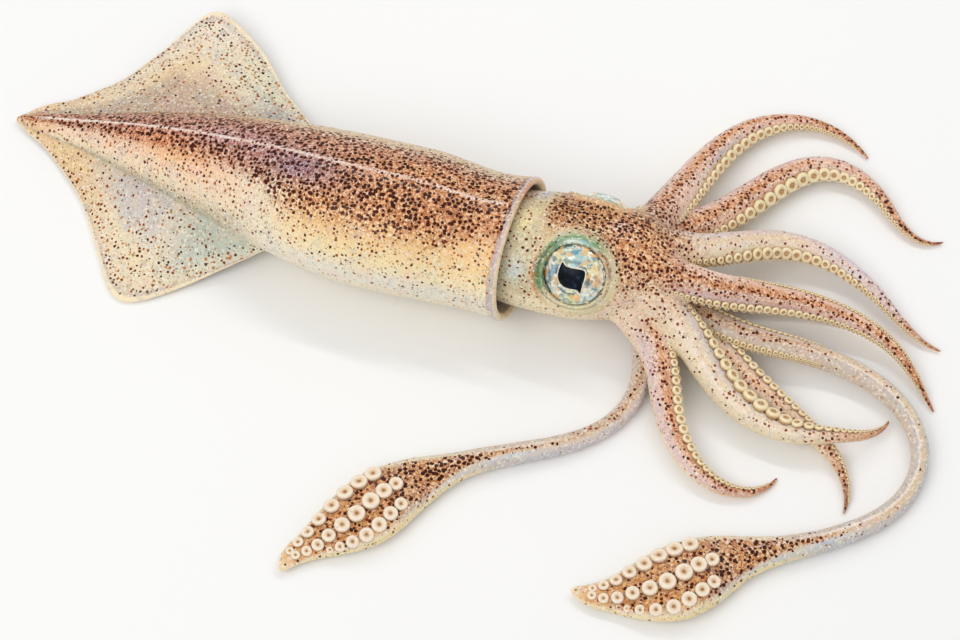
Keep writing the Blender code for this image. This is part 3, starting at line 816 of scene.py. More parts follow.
def build_mantle():
    stations, half_width, outside = mantle_profile()
    angle = np.linspace(-180.0, 180.0, MANTLE_SIDES, endpoint=False)[None, :]
    station = np.repeat(stations[:, None], MANTLE_SIDES, axis=1)
    width = half_width[:, None]
    outer = (np.arange(len(stations)) < outside)[:, None]

    arc = np.radians(angle - PEN_ANGLE) * width
    ridge = PEN_RISE * hill(arc, 0.0, PEN_WIDTH) * ease(station, 0.004, 0.03)
    ridge *= 1 - ease(station, 0.190, 0.1975)
    width = width + ridge * outer

    across = np.sin(np.radians(angle)) * width
    rise = np.cos(np.radians(angle)) * width * MANTLE_FLATNESS
    lift = TAIL_LIFT * np.clip(1 - stations / TAIL_LIFT_END, 0, None) ** 2
    middle = MANTLE_FLATNESS * mantle_half_width(stations) - BELLY_SINK + lift
    near_collar = np.clip((station - SLANT_START) / (MANTLE_LENGTH - SLANT_START), 0, None)
    slanted = station - math.tan(math.radians(COLLAR_SLANT)) * rise * near_collar**2
    height = np.maximum(rise + middle[:, None], 0.0)
    points = in_row(slanted, across + mantle_sway(stations)[:, None], height)

    outward = np.stack([0 * angle, np.sin(np.radians(angle)), np.cos(np.radians(angle))], -1)
    soft = 0.00016 * waviness(points, 0.014, 1) + 0.00005 * waviness(points, 0.0035, 2)
    points = points + outward * (soft * outer * (height > 0.0004))[..., None]

    paint = mantle_paint(station, np.repeat(angle, len(stations), axis=0))
    # A pale line along the pen ridge: partly the pale skin over the pen, partly a painted highlight along the
    # back.
    pen_line_and_highlight = hill(arc, 0.0, 0.0007) * outer * ease(station, 0.004, 0.012)
    paint.wash((0.97, 0.91, 0.88), 0.85 * pen_line_and_highlight * (1 - ease(station, 0.1955, 0.1975)))
    paint.spots *= 1 - 0.9 * pen_line_and_highlight
    lip = ease(station, MANTLE_LENGTH - 0.0024, MANTLE_LENGTH - 0.0016)
    paint.spots *= 1 - lip
    paint.specks *= 1 - lip
    paint.wash((0.93, 0.84, 0.70), 0.9 * lip)
    paint.wash((0.80, 0.52, 0.30), 0.75 * lip * hill(angle, 26, 26))
    behind = hill(station, MANTLE_LENGTH - 0.0030, 0.0004) * outer
    paint.wash((0.66, 0.42, 0.26), 0.8 * behind)
    # The inside of the collar is painted greyer: painted shade in the mantle's opening.
    inner = ~outer & (station < MANTLE_LENGTH - 0.0012)
    paint.wash((0.74, 0.70, 0.72), 0.9 * inner)

    mesh = loft_mesh("mantle_tube", points, paint.values())
    face_outwards(mesh)
    return add_piece("mantle_tube", mesh)


# ---- Fins ----


def fin_paint(name, station, reach):
    """Pale translucent fins: warm towards the tail; greyer and bluer where they join the body, painted shade
    under the mantle's side.
    """
    s = station * 1000
    paint = Paint(s.shape, (0.90, 0.84, 0.74), specks=0.45)
    if name == "fin_left":
        paint.wash((0.93, 0.89, 0.82), 0.7 * hill(s, 56, 12) * ease(reach, 0.6, 0.85))
        paint.wash((0.95, 0.79, 0.54), 0.55 * hill(s, 50, 16) * hill(reach, 0.52, 0.15))
        paint.wash((0.90, 0.76, 0.58), 0.7 * (1 - ease(s, 12, 44)))
        paint.wash((0.86, 0.87, 0.76), 0.6 * hill(s, 84, 12) * ease(reach, 0.45, 0.8))
        # Blue-grey and darker towards the body: painted shade where the fin tucks under the mantle.
        paint.wash((0.58, 0.60, 0.64), 0.80 * ease(s, 76, 96) * (1 - ease(reach, 0.6, 0.95)))
        paint.wash((0.70, 0.61, 0.54), 0.80 * (1 - ease(reach, 0.34, 0.60)))
    else:
        paint.wash((0.90, 0.76, 0.54), 0.8 * (1 - ease(s, 28, 60)))
        # Lilac-grey and green-grey towards the body: painted shade where the fin tucks under the mantle.
        paint.wash((0.76, 0.74, 0.76), 0.75 * hill(s, 58, 16) * (1 - ease(reach, 0.42, 0.62)))
        paint.wash((0.68, 0.74, 0.70), 0.75 * ease(s, 70, 88) * (1 - ease(reach, 0.62, 0.95)))
        paint.wash((0.96, 0.87, 0.70), 0.6 * hill(s, 62, 12) * hill(reach, 0.70, 0.20))
        paint.wash((0.84, 0.86, 0.78), 0.5 * ease(s, 78, 95) * ease(reach, 0.5, 0.8))
    paint.specks += 0.22 * ease(reach, 0.4, 0.8)
    paint.spots = 0.10 * (1 - ease(reach, 0.35, 0.6))
    shade = hill(reach, 0.935, 0.02)
    paint.wash((0.72, 0.66, 0.64), 0.6 * shade)
    rim = ease(reach, 0.955, 0.972)
    paint.wash((0.97, 0.90, 0.76), 0.95 * rim)
    paint.specks *= 1 - rim
    return paint


def build_fin(name):
    knots = FIN_EDGES[name]
    side = 1 if name == "fin_left" else -1
    edge = smooth_through([(t, *knot) for t, knot in zip(np.linspace(0, 1, len(knots)), knots)])
    share = np.linspace(0.0, 1.0, FIN_ROWS)
    edge_station, edge_side, edge_height = edge(share).T
    half_width = mantle_half_width(edge_station)
    root_side = mantle_sway(edge_station) + side * FIN_ROOT_DEPTH * half_width
    root_height = np.maximum(FIN_ROOT_HEIGHT * MANTLE_FLATNESS * half_width, FIN_ROOT_THICKNESS)

    span = np.abs(edge_side - root_side)
    rim_share = np.clip(FIN_RIM / np.maximum(span, 1e-5), 0.0, 0.5)
    reach = np.linspace(0.0, 1.0, FIN_COLUMNS)[None, :] * (1 - rim_share[:, None])
    middle_side = root_side[:, None] + (edge_side - root_side)[:, None] * reach
    drop = (1 - reach) ** FIN_DROOP
    middle_height = edge_height[:, None] + (root_height - edge_height)[:, None] * drop
    stations = np.repeat(edge_station[:, None], FIN_COLUMNS, axis=1)
    middle = in_row(stations, middle_side, middle_height)
    wave = 0.00030 * waviness(middle, 0.016, 5) + 0.00016 * waviness(middle, 0.006, 6)
    middle[..., 2] += wave * ease(reach, 0.2, 0.5)

    along = np.gradient(middle, axis=0)
    out = np.gradient(middle, axis=1)
    up = np.cross(along, out)
    up *= np.sign(up[..., 2:3]) / np.linalg.norm(up, axis=-1, keepdims=True)
    thickness = FIN_ROOT_THICKNESS + (FIN_EDGE_THICKNESS - FIN_ROOT_THICKNESS) * ease(reach, 0.2, 0.9)
    taper = ease(share, 0.0, 0.03) * ease(1 - share, 0.0, 0.03)
    thickness = thickness * (0.35 + 0.65 * taper[:, None])
    rim = FIN_RIM * (0.35 + 0.65 * taper)[:, None]
    swell = ease(reach, 0.90, 0.985) * ease(span, 0.004, 0.012)[:, None]
    half = thickness / 2 + (rim - thickness / 2) * swell
    top = middle + up * half[..., None]
    bottom = middle - up * half[..., None]

    outward = out[:, -1] / np.linalg.norm(out[:, -1], axis=-1, keepdims=True)
    turn = np.linspace(math.pi / 2, -math.pi / 2, 9)[1:-1]
    round_rim = [
        middle[:, -1] + half[:, -1:] * (outward * math.cos(t) + up[:, -1] * math.sin(t))
        for t in turn
    ]
    points = np.concatenate([top, np.stack(round_rim, axis=1), bottom[:, ::-1]], axis=1)
    points[..., 2] = np.maximum(points[..., 2], 0.00005)
    whole_reach = np.concatenate(
        [reach, np.ones((FIN_ROWS, len(turn))), reach[:, ::-1]], axis=1
    )
    whole_station = np.repeat(edge_station[:, None], points.shape[1], axis=1)
    paint = fin_paint(name, whole_station, whole_reach)
    mesh = loft_mesh(name, points, paint.values())
    face_outwards(mesh)
    return add_piece(name, mesh)


# ---- Head and arms ----

HEAD_VOXEL = 0.00068
ARM_RINGS = 110
ARM_SIDES = 28
ARM_CUT = 0.92  # share of the length where an arm's own fine tip takes over
TIP_FROM = 0.84
EYE_OPENING = 0.0112


def limb_line(limb, steps=PATH_STEPS):
    """Points along a limb's middle, with its directions onward, to the left and up."""
    stretch = limb.length / steps
    bend = np.interp((np.arange(steps) + 0.5) / steps, np.linspace(0, 1, len(limb.bends)), limb.bends)
    turn = np.radians(bend) * stretch * 100
    heading = math.radians(limb.heading) + np.concatenate([[0.0], np.cumsum(turn)])
    station = np.cumsum(np.concatenate([[limb.root[0]], stretch * np.cos(heading[:-1] + turn / 2)]))
    side = np.cumsum(np.concatenate([[limb.root[1]], stretch * np.sin(heading[:-1] + turn / 2)]))
    heights = list(zip(np.linspace(0, 1, len(limb.heights)), limb.heights))
    return np.stack([station, side, smooth_through(heights)(np.linspace(0, 1, steps + 1))], axis=-1)


def directions(points):
    """Unit vectors onward, to the left and up at each point of a line."""
    onward = np.gradient(points, axis=0)
    onward /= np.linalg.norm(onward, axis=-1, keepdims=True)
    left = np.stack([-onward[:, 1], onward[:, 0], 0 * onward[:, 0]], axis=-1)
    left /= np.linalg.norm(left, axis=-1, keepdims=True)
    return onward, left, np.cross(onward, left)


def arm_radius(limb, t):
    return TIP_RADIUS + (limb.width / 2 - TIP_RADIUS) * (1 - np.asarray(t) ** ARM_TAPER)


def arm_line(limb):
    """An arm's middle line in the row frame, with its radius at each point."""
    line = limb_line(limb)
    radius = arm_radius(limb, np.linspace(0, 1, len(line)))
    line[:, 2] = np.maximum(line[:, 2], radius - LIMB_SINK)
    return in_row(*line.T), radius


def tube_rings(line, radius, sides, left, up):
    """Rings of points round a line, with each ring's angle from up, growing to the left."""
    angle = np.linspace(-math.pi, math.pi, sides, endpoint=False)[None, :, None]
    out = up[:, None] * np.cos(angle) + left[:, None] * np.sin(angle)
    rings = line[:, None] + out * radius[:, None, None]
    rings[..., 2] = np.maximum(rings[..., 2], 0.0)
    return rings, np.repeat(np.degrees(angle[..., 0]), len(line), axis=0)


def pick(line, radius, shares):
    """A line and its radius at given shares of its length."""
    place = shares * (len(line) - 1)
    index = np.arange(len(line))
    points = np.stack([np.interp(place, index, line[:, axis]) for axis in range(3)], axis=-1)
    return points, np.interp(place, index, radius)


def head_section(station):
    """Half width of the head at a station, closing over its crown."""
    last, last_radius = HEAD_HALF_WIDTH[-1]
    over = np.clip((station - last) / (HEAD_FRONT - last), 0.0, 1.0)
    return np.where(station > last, last_radius * np.sqrt(1 - over**2), head_half_width(station))


def head_rings():
    first, last = HEAD_HALF_WIDTH[0][0], HEAD_HALF_WIDTH[-1][0]
    crown = last + (HEAD_FRONT - last) * np.sin(np.linspace(0, math.pi / 2, 10))[1:-1]
    stations = np.concatenate([np.linspace(first, last, 80), crown])
    angle = np.linspace(-math.pi, math.pi, 96, endpoint=False)[None, :]
    width = head_section(stations)[:, None]
    side = head_sway(stations)[:, None] + width * np.sin(angle)
    height = HEAD_HEIGHT + HEAD_FLATNESS * width * np.cos(angle)
    return in_row(stations[:, None], side, height)


def eye_axes(side, out):
    """Middle and directions forward, up and out of an eye or a lid."""
    angle = math.radians(EYE_ANGLES[side])
    outward = np.array([0.0, side * math.sin(angle), math.cos(angle)])
    upward = np.array([0.0, -side * math.cos(angle), math.sin(angle)])
    middle = in_row(EYE_STATION, float(head_sway(EYE_STATION)), HEAD_HEIGHT) + outward * out
    return middle, np.array([1.0, 0.0, 0.0]), upward, outward


def ball_rings(side, out, radius, depth, rings, sides):
    """Rings of a flattened ball from its outer pole to its inner one."""
    middle, forward, upward, outward = eye_axes(side, out)
    polar = np.linspace(0, math.pi, rings + 2)[1:-1, None, None]
    angle = np.linspace(0, 2 * math.pi, sides, endpoint=False)[None, :, None]
    flat = forward * np.cos(angle) + upward * np.sin(angle)
    return middle + radius * np.sin(polar) * flat + depth * np.cos(polar) * outward


def joined(name, meshes):
    """One mesh of several."""
    shape = bmesh.new()
    for mesh in meshes:
        shape.from_mesh(mesh)
        bpy.data.meshes.remove(mesh)
    made = bpy.data.meshes.new(name)
    shape.to_mesh(made)
    shape.free()
    return made


def limb_coordinates(points, line, radius):
    """Where points lie by a limb: share of its length, angle from up and distance over radius."""
    _, left, up = directions(line)
    step = 4
    coarse = line[::step]
    nearest = np.zeros(len(points), int)
    for start in range(0, len(points), 20000):
        chunk = points[start : start + 20000, None] - coarse[None]
        nearest[start : start + 20000] = (chunk**2).sum(-1).argmin(1)
    nearest = nearest * step
    away = points - line[nearest]
    across = (away * left[nearest]).sum(-1)
    rise = (away * up[nearest]).sum(-1)
    share = nearest / (len(line) - 1)
    return share, np.degrees(np.arctan2(across, rise)), np.linalg.norm(away, axis=-1) / radius[nearest]


@dataclass
class ArmLook:
    """How an arm's skin is marked: its band of spots, and the colours beside the band."""

    ground: tuple
    band: float
    band_angle: float
    band_width: float
    spots: float
    edge: tuple
    edge_angle: float


CREAM = (0.94, 0.88, 0.77)
PINK = (0.94, 0.81, 0.75)
LILAC = (0.85, 0.77, 0.80)
ARM_LOOKS = {
    "arm_left_1": ArmLook(CREAM, 0.22, -10, 34, 0.16, (0.84, 0.78, 0.82), 28),
    "arm_left_2": ArmLook(PINK, 0.80, 2, 30, 0.26, (0.86, 0.78, 0.80), 55),
    "arm_left_3": ArmLook(PINK, 0.95, -14, 34, 0.26, (0.86, 0.76, 0.78), 40),
    "arm_left_4": ArmLook(PINK, 0.50, 0, 30, 0.20, LILAC, 50),
    "arm_right_1": ArmLook(PINK, 0.95, -20, 30, 0.26, (0.84, 0.74, 0.78), -62),
    "arm_right_2": ArmLook(CREAM, 0.14, -10, 30, 0.20, (0.80, 0.78, 0.80), 25),
    "arm_right_3": ArmLook(PINK, 0.90, 4, 26, 0.26, LILAC, -40),
    "arm_right_4": ArmLook(CREAM, 0.45, -6, 32, 0.26, LILAC, 40),
}


def arm_paint(name, share, angle):
    """An arm's colours: a dotted orange band on a pink or cream ground, a painted highlight line beside the
    band, and a rusty tip.
    """
    look = ARM_LOOKS[name]
    paint = Paint(share.shape, look.ground, specks=0.16)
    paint.wash(look.edge, 0.75 * hill(angle, look.edge_angle, 22))
    paint.wash((0.92, 0.85, 0.66), 0.7 * ease(np.abs(angle), 62, 105))
    band = hill(angle, look.band_angle, look.band_width)
    if name == "arm_left_3":
        band = band * (1 - 0.6 * hill(share, 0.60, 0.16))
    paint.wash((0.93, 0.70, 0.48), 0.9 * look.band * band)
    paint.wash((0.88, 0.56, 0.32), 0.5 * look.band * band * hill(share, 0.42, 0.16))
    # A narrow near-white line beside the band: a painted highlight along the arm.
    paint.wash((0.96, 0.91, 0.88), 0.6 * hill(angle, look.band_angle - 16, 7) * (1 - ease(share, 0.7, 0.9)))
    paint.wash((0.86, 0.62, 0.44), 0.8 * ease(share, 0.66, 0.92))
    paint.wash((0.74, 0.46, 0.30), 0.7 * ease(share, 0.88, 1.0))
    field = 1 - ease(np.abs(angle - look.band_angle), 50, 95)
    paint.spots = 0.7 * look.spots * field + look.band * 0.42 * band
    paint.spots += 0.20 * ease(share, 0.6, 0.85) * field
    paint.spots += 0.40 * (1 - ease(share, 0.04, 0.20)) * field
    paint.wash((0.90, 0.68, 0.50), 0.6 * (1 - ease(share, 0.04, 0.18)) * field)
    if name == "arm_left_1":
        paint.wash((0.84, 0.56, 0.38), 0.7 * (1 - ease(share, 0.02, 0.14)) * field)
        paint.spots += 0.5 * (1 - ease(share, 0.02, 0.14)) * field
        paint.wash((0.86, 0.80, 0.86), 0.6 * ease(share, 0.45, 0.62) * (1 - ease(share, 0.8, 0.92)))
    if name == "arm_left_2":
        paint.wash((0.74, 0.77, 0.84), 0.7 * hill(angle, -38, 12) * hill(share, 0.44, 0.14))
        paint.wash((0.90, 0.88, 0.62), 0.7 * hill(angle, -60, 14) * hill(share, 0.42, 0.16))
    if name == "arm_right_4":
        paint.wash((0.66, 0.72, 0.66), 0.5 * hill(angle, 30, 16) * hill(share, 0.2, 0.1))
        paint.wash((0.52, 0.38, 0.26), 0.6 * ease(share, 0.8, 1.0))
    return paint


def head_paint(station, angle):
    """The head's colours: a grey-green neck with painted shade where it goes into the mantle, a dark dotted
    crown and orange arm bases.
    """
    s = station * 1000
    a = angle
    paint = Paint(s.shape, (0.92, 0.84, 0.72), specks=0.40)
    neck = 1 - ease(s, 207, 214)
    paint.wash((0.80, 0.78, 0.62), 0.8 * neck)
    paint.wash((0.98, 0.93, 0.72), 0.9 * hill(s, 200.5, 3.5) * hill(a, 0, 13))
    paint.wash((0.74, 0.74, 0.84), 0.95 * hill(s, 201.5, 3.6) * hill(a, 46, 13))
    paint.wash((0.97, 0.97, 0.97), 0.8 * hill(s, 201.5, 1.6) * hill(a, 46, 6))
    paint.wash((0.82, 0.88, 0.88), 0.8 * hill(s, 202.5, 3.5) * hill(a, -52, 12))
    paint.wash((0.95, 0.90, 0.76), 0.7 * ease(-a, 66, 92))
    paint.wash((0.72, 0.60, 0.44), 0.75 * ease(a, 14, 28) * (1 - ease(s, 197, 202)))
    # Dark olive where the neck goes into the mantle: painted shade in the gap under the collar.
    paint.wash((0.40, 0.36, 0.26), 0.8 * (1 - ease(s, 193.5, 198.5)))
    crown = ease(s, 203, 211) * hill(a, 24, 36) * (1 - ease(s, 240, 250))
    paint.wash((0.88, 0.69, 0.46), 0.9 * crown)
    paint.wash((0.76, 0.56, 0.34), 0.7 * hill(s, 213, 7) * hill(a, 24, 18))
    paint.wash((0.95, 0.72, 0.50), 0.85 * ease(s, 228, 235) * hill(a, -8, 42))
    paint.wash((0.96, 0.88, 0.86), 0.7 * hill(s, 234, 4) * hill(a, 14, 8))
    paint.wash((0.93, 0.82, 0.72), 0.8 * ease(s, 226, 236) * ease(-a, 56, 76))
    paint.wash((0.88, 0.74, 0.68), 0.7 * ease(s, 212, 226) * ease(a, 54, 76))
    dots = np.maximum(0.26 * neck, 0.95 * crown)
    dots = np.maximum(dots, 0.66 * ease(s, 225, 231) * (1 - ease(-a, 44, 76)))
    paint.spots = np.maximum(dots, 0.14) * (1 - 0.6 * ease(-a, 70, 95))
    return paint


def open_eyes(points):
    """Sinks the skin where an eyeball shows, so that the ball stands clear of it."""
    for side in (1, -1):
        middle, forward, upward, outward = eye_axes(side, EYE_OUT)
        away = points - middle
        ring = np.hypot(away @ forward, away @ upward)
        out = away @ outward
        ball = EYE_DEPTH * np.sqrt(1 - np.clip(ring / EYE_RADIUS, 0, 0.97) ** 2)
        sunk = (1 - ease(ring, EYE_OPENING, EYE_OPENING + 0.0008)) * (out > -0.002)
        points += ((np.minimum(out, ball - 0.0007) - out) * sunk)[:, None] * outward


def skin_of_head(mesh, lines):
    """Paints the head and its arms, each arm's paint fading into its neighbours'."""
    points = mesh_points(mesh)
    station = points[:, 0] - tail_x
    side = points[:, 1] - side_zero - head_sway(station)
    angle = np.degrees(np.arctan2(side, (points[:, 2] - HEAD_HEIGHT) / HEAD_FLATNESS))
    paint = head_paint(station, angle)
    total = np.zeros(len(points))
    tint = np.zeros((len(points), 3))
    spots = np.zeros(len(points))
    specks = np.zeros(len(points))
    reach = np.zeros(len(points))
    for name, (line, radius) in lines.items():
        share, turn, ratio = limb_coordinates(points, line, radius)
        weight = np.maximum(ratio, 0.5) ** -12.0
        own = arm_paint(name, share, turn)
        tint += own.tint * weight[:, None]
        spots += own.spots * weight
        specks += own.specks * weight
        reach += weight * ease(share * ARMS[name].length, 0.002, 0.020)
        total += weight
    reach = (reach / total) * ease(station, 0.232, 0.242)
    paint.tint += (tint / total[:, None] - paint.tint) * reach[:, None]
    paint.spots += (spots / total - paint.spots) * reach
    paint.specks += (specks / total - paint.specks) * reach
    set_values(mesh, paint.values())


def arm_tip(name, line, radius):
    """The fine end of an arm."""
    shares = TIP_FROM + (1 - TIP_FROM) * np.linspace(0, 1, 60) ** 0.9
    points, radii = pick(line, radius, shares)
    radii = radii * (0.7 + 0.32 * ease(shares, TIP_FROM, TIP_FROM + 0.03))
    radii[-4:] *= (0.95, 0.85, 0.65, 0.35)
    _, left, up = directions(points)
    rings, angle = tube_rings(points, radii, 20, left, up)
    paint = arm_paint(name, np.repeat(shares[:, None], 20, axis=1), angle)
    mesh = loft_mesh(name + "_tip", rings, paint.values())
    face_outwards(mesh)
    return mesh


def build_head():
    """The head with its lids' swellings and the eight arms in one skin."""
    lines = {name: arm_line(limb) for name, limb in ARMS.items()}
    meshes = [loft_mesh("head", head_rings())]
    for side in (1, -1):
        meshes.append(loft_mesh("lid", ball_rings(side, LID_OUT, LID_RADIUS, LID_DEPTH, 40, 64)))
    for name, (line, radius) in lines.items():
        shares = np.linspace(0.0, ARM_CUT, ARM_RINGS)
        points, radii = pick(line, radius, shares)
        radii = radii * (1 - 0.45 * ease(shares, TIP_FROM + 0.03, ARM_CUT))
        _, left, up = directions(points)
        rings, _ = tube_rings(points, radii, ARM_SIDES, left, up)
        meshes.append(loft_mesh(name, rings))
    for mesh in meshes:
        face_outwards(mesh)
    blank = add_piece("head_blank", joined("head_blank", meshes))
    remesh = blank.modifiers.new("One skin", "REMESH")
    remesh.mode = "VOXEL"
    remesh.voxel_size = HEAD_VOXEL
    head = evaluated_piece(blank, "head_and_arms")
    points = mesh_points(head.data)
    station = points[:, 0] - tail_x
    near_crown = ease(station, 0.222, 0.236) * (1 - ease(station, 0.258, 0.285))
    relax(head.data, 0.25 + 0.30 * near_crown, 6)
    relax(head.data, 0.50 * near_crown, 14)
    points = mesh_points(head.data)
    lift = 0.00022 * waviness(points, 0.011, 3) + 0.00008 * waviness(points, 0.0035, 4)
    thick = 0.35 + 0.65 * (1 - ease(station, 0.27, 0.33))
    points += mesh_normals(head.data) * (lift * thick)[:, None]
    points[:, 2] = np.maximum(points[:, 2], 0.00003)
    open_eyes(points)
    set_points(head.data, points)
    skin_of_head(head.data, lines)
    tips = [arm_tip(name, line, radius) for name, (line, radius) in lines.items()]
    body = head.data
    head.data = joined("head_and_arms", [body.copy(), *tips])
    bpy.data.meshes.remove(body)
    head.data.shade_smooth()
    return head, lines


# ---- Tentacles ----

TENTACLE_RINGS = 520
TENTACLE_SIDES = 60


def tentacle_section(name, limb, distance):
    """A tentacle's half width, half height and shift to the left by the distance from its tip."""
    shape = club_shape[name](distance)
    thinned = np.clip((1 - distance / limb.length) / STALK_THINS, 0.0, 1.0)
    stalk = limb.width / 2 + (STALK_RADIUS - limb.width / 2) * thinned
    on_club = distance < CLUB_SHAPE[name][-1][0]
    half_width = np.where(on_club, shape[..., 0], stalk)
    shift = np.where(on_club, shape[..., 1], 0.0)
    roundness = ease(distance, *CLUB_ROUND)
    return half_width, half_width * (CLUB_FLATNESS + (1 - CLUB_FLATNESS) * roundness), shift


def tentacle_frame(name, limb, distance):
    """Middle, direction to the left, half width and half height along a tentacle."""
    line = limb_line(limb)
    _, left, _ = directions(line)
    half_width, half_height, shift = tentacle_section(name, limb, distance)
    place = (1 - distance / limb.length) * PATH_STEPS
    index = np.arange(PATH_STEPS + 1)
    middle = np.stack([np.interp(place, index, line[:, axis]) for axis in range(3)], axis=-1)
    sideways = np.stack([np.interp(place, index, left[:, axis]) for axis in range(3)], axis=-1)
    sideways /= np.linalg.norm(sideways, axis=-1, keepdims=True)
    middle += sideways * shift[..., None]
    middle[..., 2] = np.maximum(middle[..., 2], half_height - LIMB_SINK)
    return in_row(*np.moveaxis(middle, -1, 0)), sideways, half_width, half_height


def tentacle_paint(name, distance, across, upper):
    """A pearly stalk with a dotted line and painted highlight streaks along its top, and a dotted orange palm on
    the club.
    """
    d = distance * 1000
    length = TENTACLES[name].length * 1000
    paint = Paint(d.shape, (0.83, 0.76, 0.69), specks=0.12)
    stalk = ease(d, 70, 100)
    paint.wash((0.74, 0.72, 0.74), 0.6 * stalk * hill(across, -0.35, 0.35))
    paint.wash((0.88, 0.80, 0.66), 0.7 * stalk * hill(across, 0.55, 0.35))
    paint.wash((0.70, 0.74, 0.82), 0.6 * stalk * hill(across, 0.95, 0.3))
    line = hill(across, 0.10, 0.24) * upper
    paint.wash((0.76, 0.83, 0.91), 0.85 * hill(across, 0.52, 0.22) * hill(d, 92, 12))
    paint.wash((0.88, 0.72, 0.56), 0.5 * ease(d, 80, 110) * line)
    # A narrow near-white line along the stalk's top: a painted highlight.
    paint.wash((0.97, 0.94, 0.90), 0.7 * stalk * hill(across, -0.08, 0.10) * upper)
    paint.spots = 0.12 * ease(d, 80, 110) * line
    club = 1 - ease(d, 60, 86)
    paint.wash((0.90, 0.86, 0.76), 0.9 * club)
    palm = upper * (1 - ease(np.abs(across), 0.72, 0.96))
    low = 1 - ease(d, 46, 60)
    paint.wash((0.88, 0.64, 0.36), 0.9 * palm * low)
    paint.wash((0.90, 0.82, 0.64), 0.8 * hill(across, -1.0, 0.14) * low)
    beside = hill(across, 0.80, 0.12) * ease(d, 40, 52) * (1 - ease(d, 78, 100))
    paint.wash((0.76, 0.78, 0.78), 0.8 * beside)
    paint.wash((0.94, 0.86, 0.64), 0.85 * ease(across, 0.88, 0.98) * (1 - ease(d, 70, 90)))
    base = hill(d, 64, 14) * upper
    narrow = 0.95 - 0.55 * ease(d, 56, 92)
    centre = 1 - ease(np.abs(across - 0.05), narrow * 0.55, narrow)
    paint.wash((0.88, 0.66, 0.42), 0.9 * base * centre)
    trail = ease(d, 62, 76) * (1 - ease(d, 86, 108)) * upper
    paint.wash((0.88, 0.70, 0.48), 0.75 * trail * hill(across, 0.08, 0.34))
    paint.spots += 0.55 * palm * low * ease(d, 8, 18)
    paint.spots += 1.0 * base * centre + 0.60 * trail * hill(across, 0.10, 0.30)
    paint.specks += 0.3 * club
    # A narrow near-white streak along the top by the club: a painted highlight.
    highlight_streak = ease(d, 60, 70) * (1 - ease(d, 104, 116)) * hill(across, -0.20, 0.10) * upper
    paint.wash((0.97, 0.93, 0.90), 0.75 * highlight_streak)
    root = ease(d, length - 90, length - 30)
    paint.wash((0.86, 0.72, 0.56), 0.6 * root * hill(across, -0.1, 0.5))
    paint.wash(LILAC, 0.6 * root * hill(across, 0.7, 0.3))
    paint.spots += 0.45 * root * hill(across, -0.05, 0.5) * upper
    paint.wash((0.94, 0.88, 0.76), 0.7 * (1 - ease(d, 1, 7)))
    return paint


def build_tentacle(name):
    limb = TENTACLES[name]
    count = TENTACLE_RINGS if name == "tentacle_left" else 400
    share = np.linspace(0.0, 1.0, count)
    distance = limb.length * (0.35 * share + 0.65 * share**1.6)
    middle, left, half_width, half_height = tentacle_frame(name, limb, distance)
    round_tip = np.sqrt(1 - np.clip(1 - (distance + 0.00004) / 0.0011, 0, 1) ** 2)
    half_width = half_width * round_tip
    half_height = half_height * round_tip
    angle = np.linspace(-math.pi, math.pi, TENTACLE_SIDES, endpoint=False)[None, :]
    flat = 1 - ease(distance, *CLUB_ROUND)[:, None]
    across = np.sin(angle)
    rise = np.cos(angle)
    power = 1 - 0.30 * flat * (rise > 0)
    rise = np.sign(rise) * np.abs(rise) ** power
    dish = 0.16 * flat * ease(1 - np.abs(across), 0.12, 0.55) * (rise > 0)
    rise = rise - dish
    out = left[:, None] * (half_width[:, None] * across)[..., None]
    points = middle[:, None] + out
    points[..., 2] += half_height[:, None] * rise
    soft = 0.00018 * waviness(points, 0.009, 7) + 0.00006 * waviness(points, 0.003, 8)
    points[..., 2] += soft * (rise > 0.1) * ease(distance, 0.002, 0.010)[:, None]
    points[..., 2] = np.maximum(points[..., 2], 0.00002)
    wide = np.repeat(distance[:, None], TENTACLE_SIDES, axis=1)
    upper = np.repeat(ease(np.cos(angle), -0.1, 0.25), count, axis=0)
    paint = tentacle_paint(name, wide, np.repeat(across, count, axis=0), upper)
    mesh = loft_mesh(name + "_skin", points, paint.values())
    face_outwards(mesh)
    return add_piece(name + "_skin", mesh)


# ---- Suckers ----

# Down the cup's side the colour darkens towards the foot: painted shade over ochre flesh.
CUP = (  # radius and height over the sucker's radius, and colour
    (0.55, -0.80, (0.48, 0.32, 0.18)),
    (0.90, -0.20, (0.70, 0.54, 0.34)),
    (1.00, 0.16, (0.84, 0.72, 0.52)),
    (0.88, 0.56, (0.96, 0.90, 0.74)),
    (0.56, 0.66, (0.93, 0.84, 0.66)),
    (0.30, 0.46, (0.66, 0.45, 0.24)),
)
CUP_MIDDLE = (0.42, (0.80, 0.60, 0.36))
# Down the cup's side the colour darkens towards the foot: painted shade over ochre flesh.
BIG_CUP = (
    (0.55, -0.80, (0.44, 0.28, 0.16)),
    (0.80, -0.40, (0.54, 0.38, 0.22)),
    (0.96, -0.05, (0.66, 0.50, 0.31)),
    (1.00, 0.20, (0.78, 0.64, 0.44)),
    (0.96, 0.40, (0.93, 0.84, 0.65)),
    (0.84, 0.57, (0.97, 0.91, 0.76)),
    (0.64, 0.64, (0.96, 0.89, 0.74)),
    (0.42, 0.58, (0.90, 0.78, 0.58)),
    (0.30, 0.46, (0.62, 0.42, 0.22)),
    (0.18, 0.42, (0.80, 0.62, 0.38)),
)
BIG_CUP_MIDDLE = (0.42, (0.82, 0.62, 0.38))
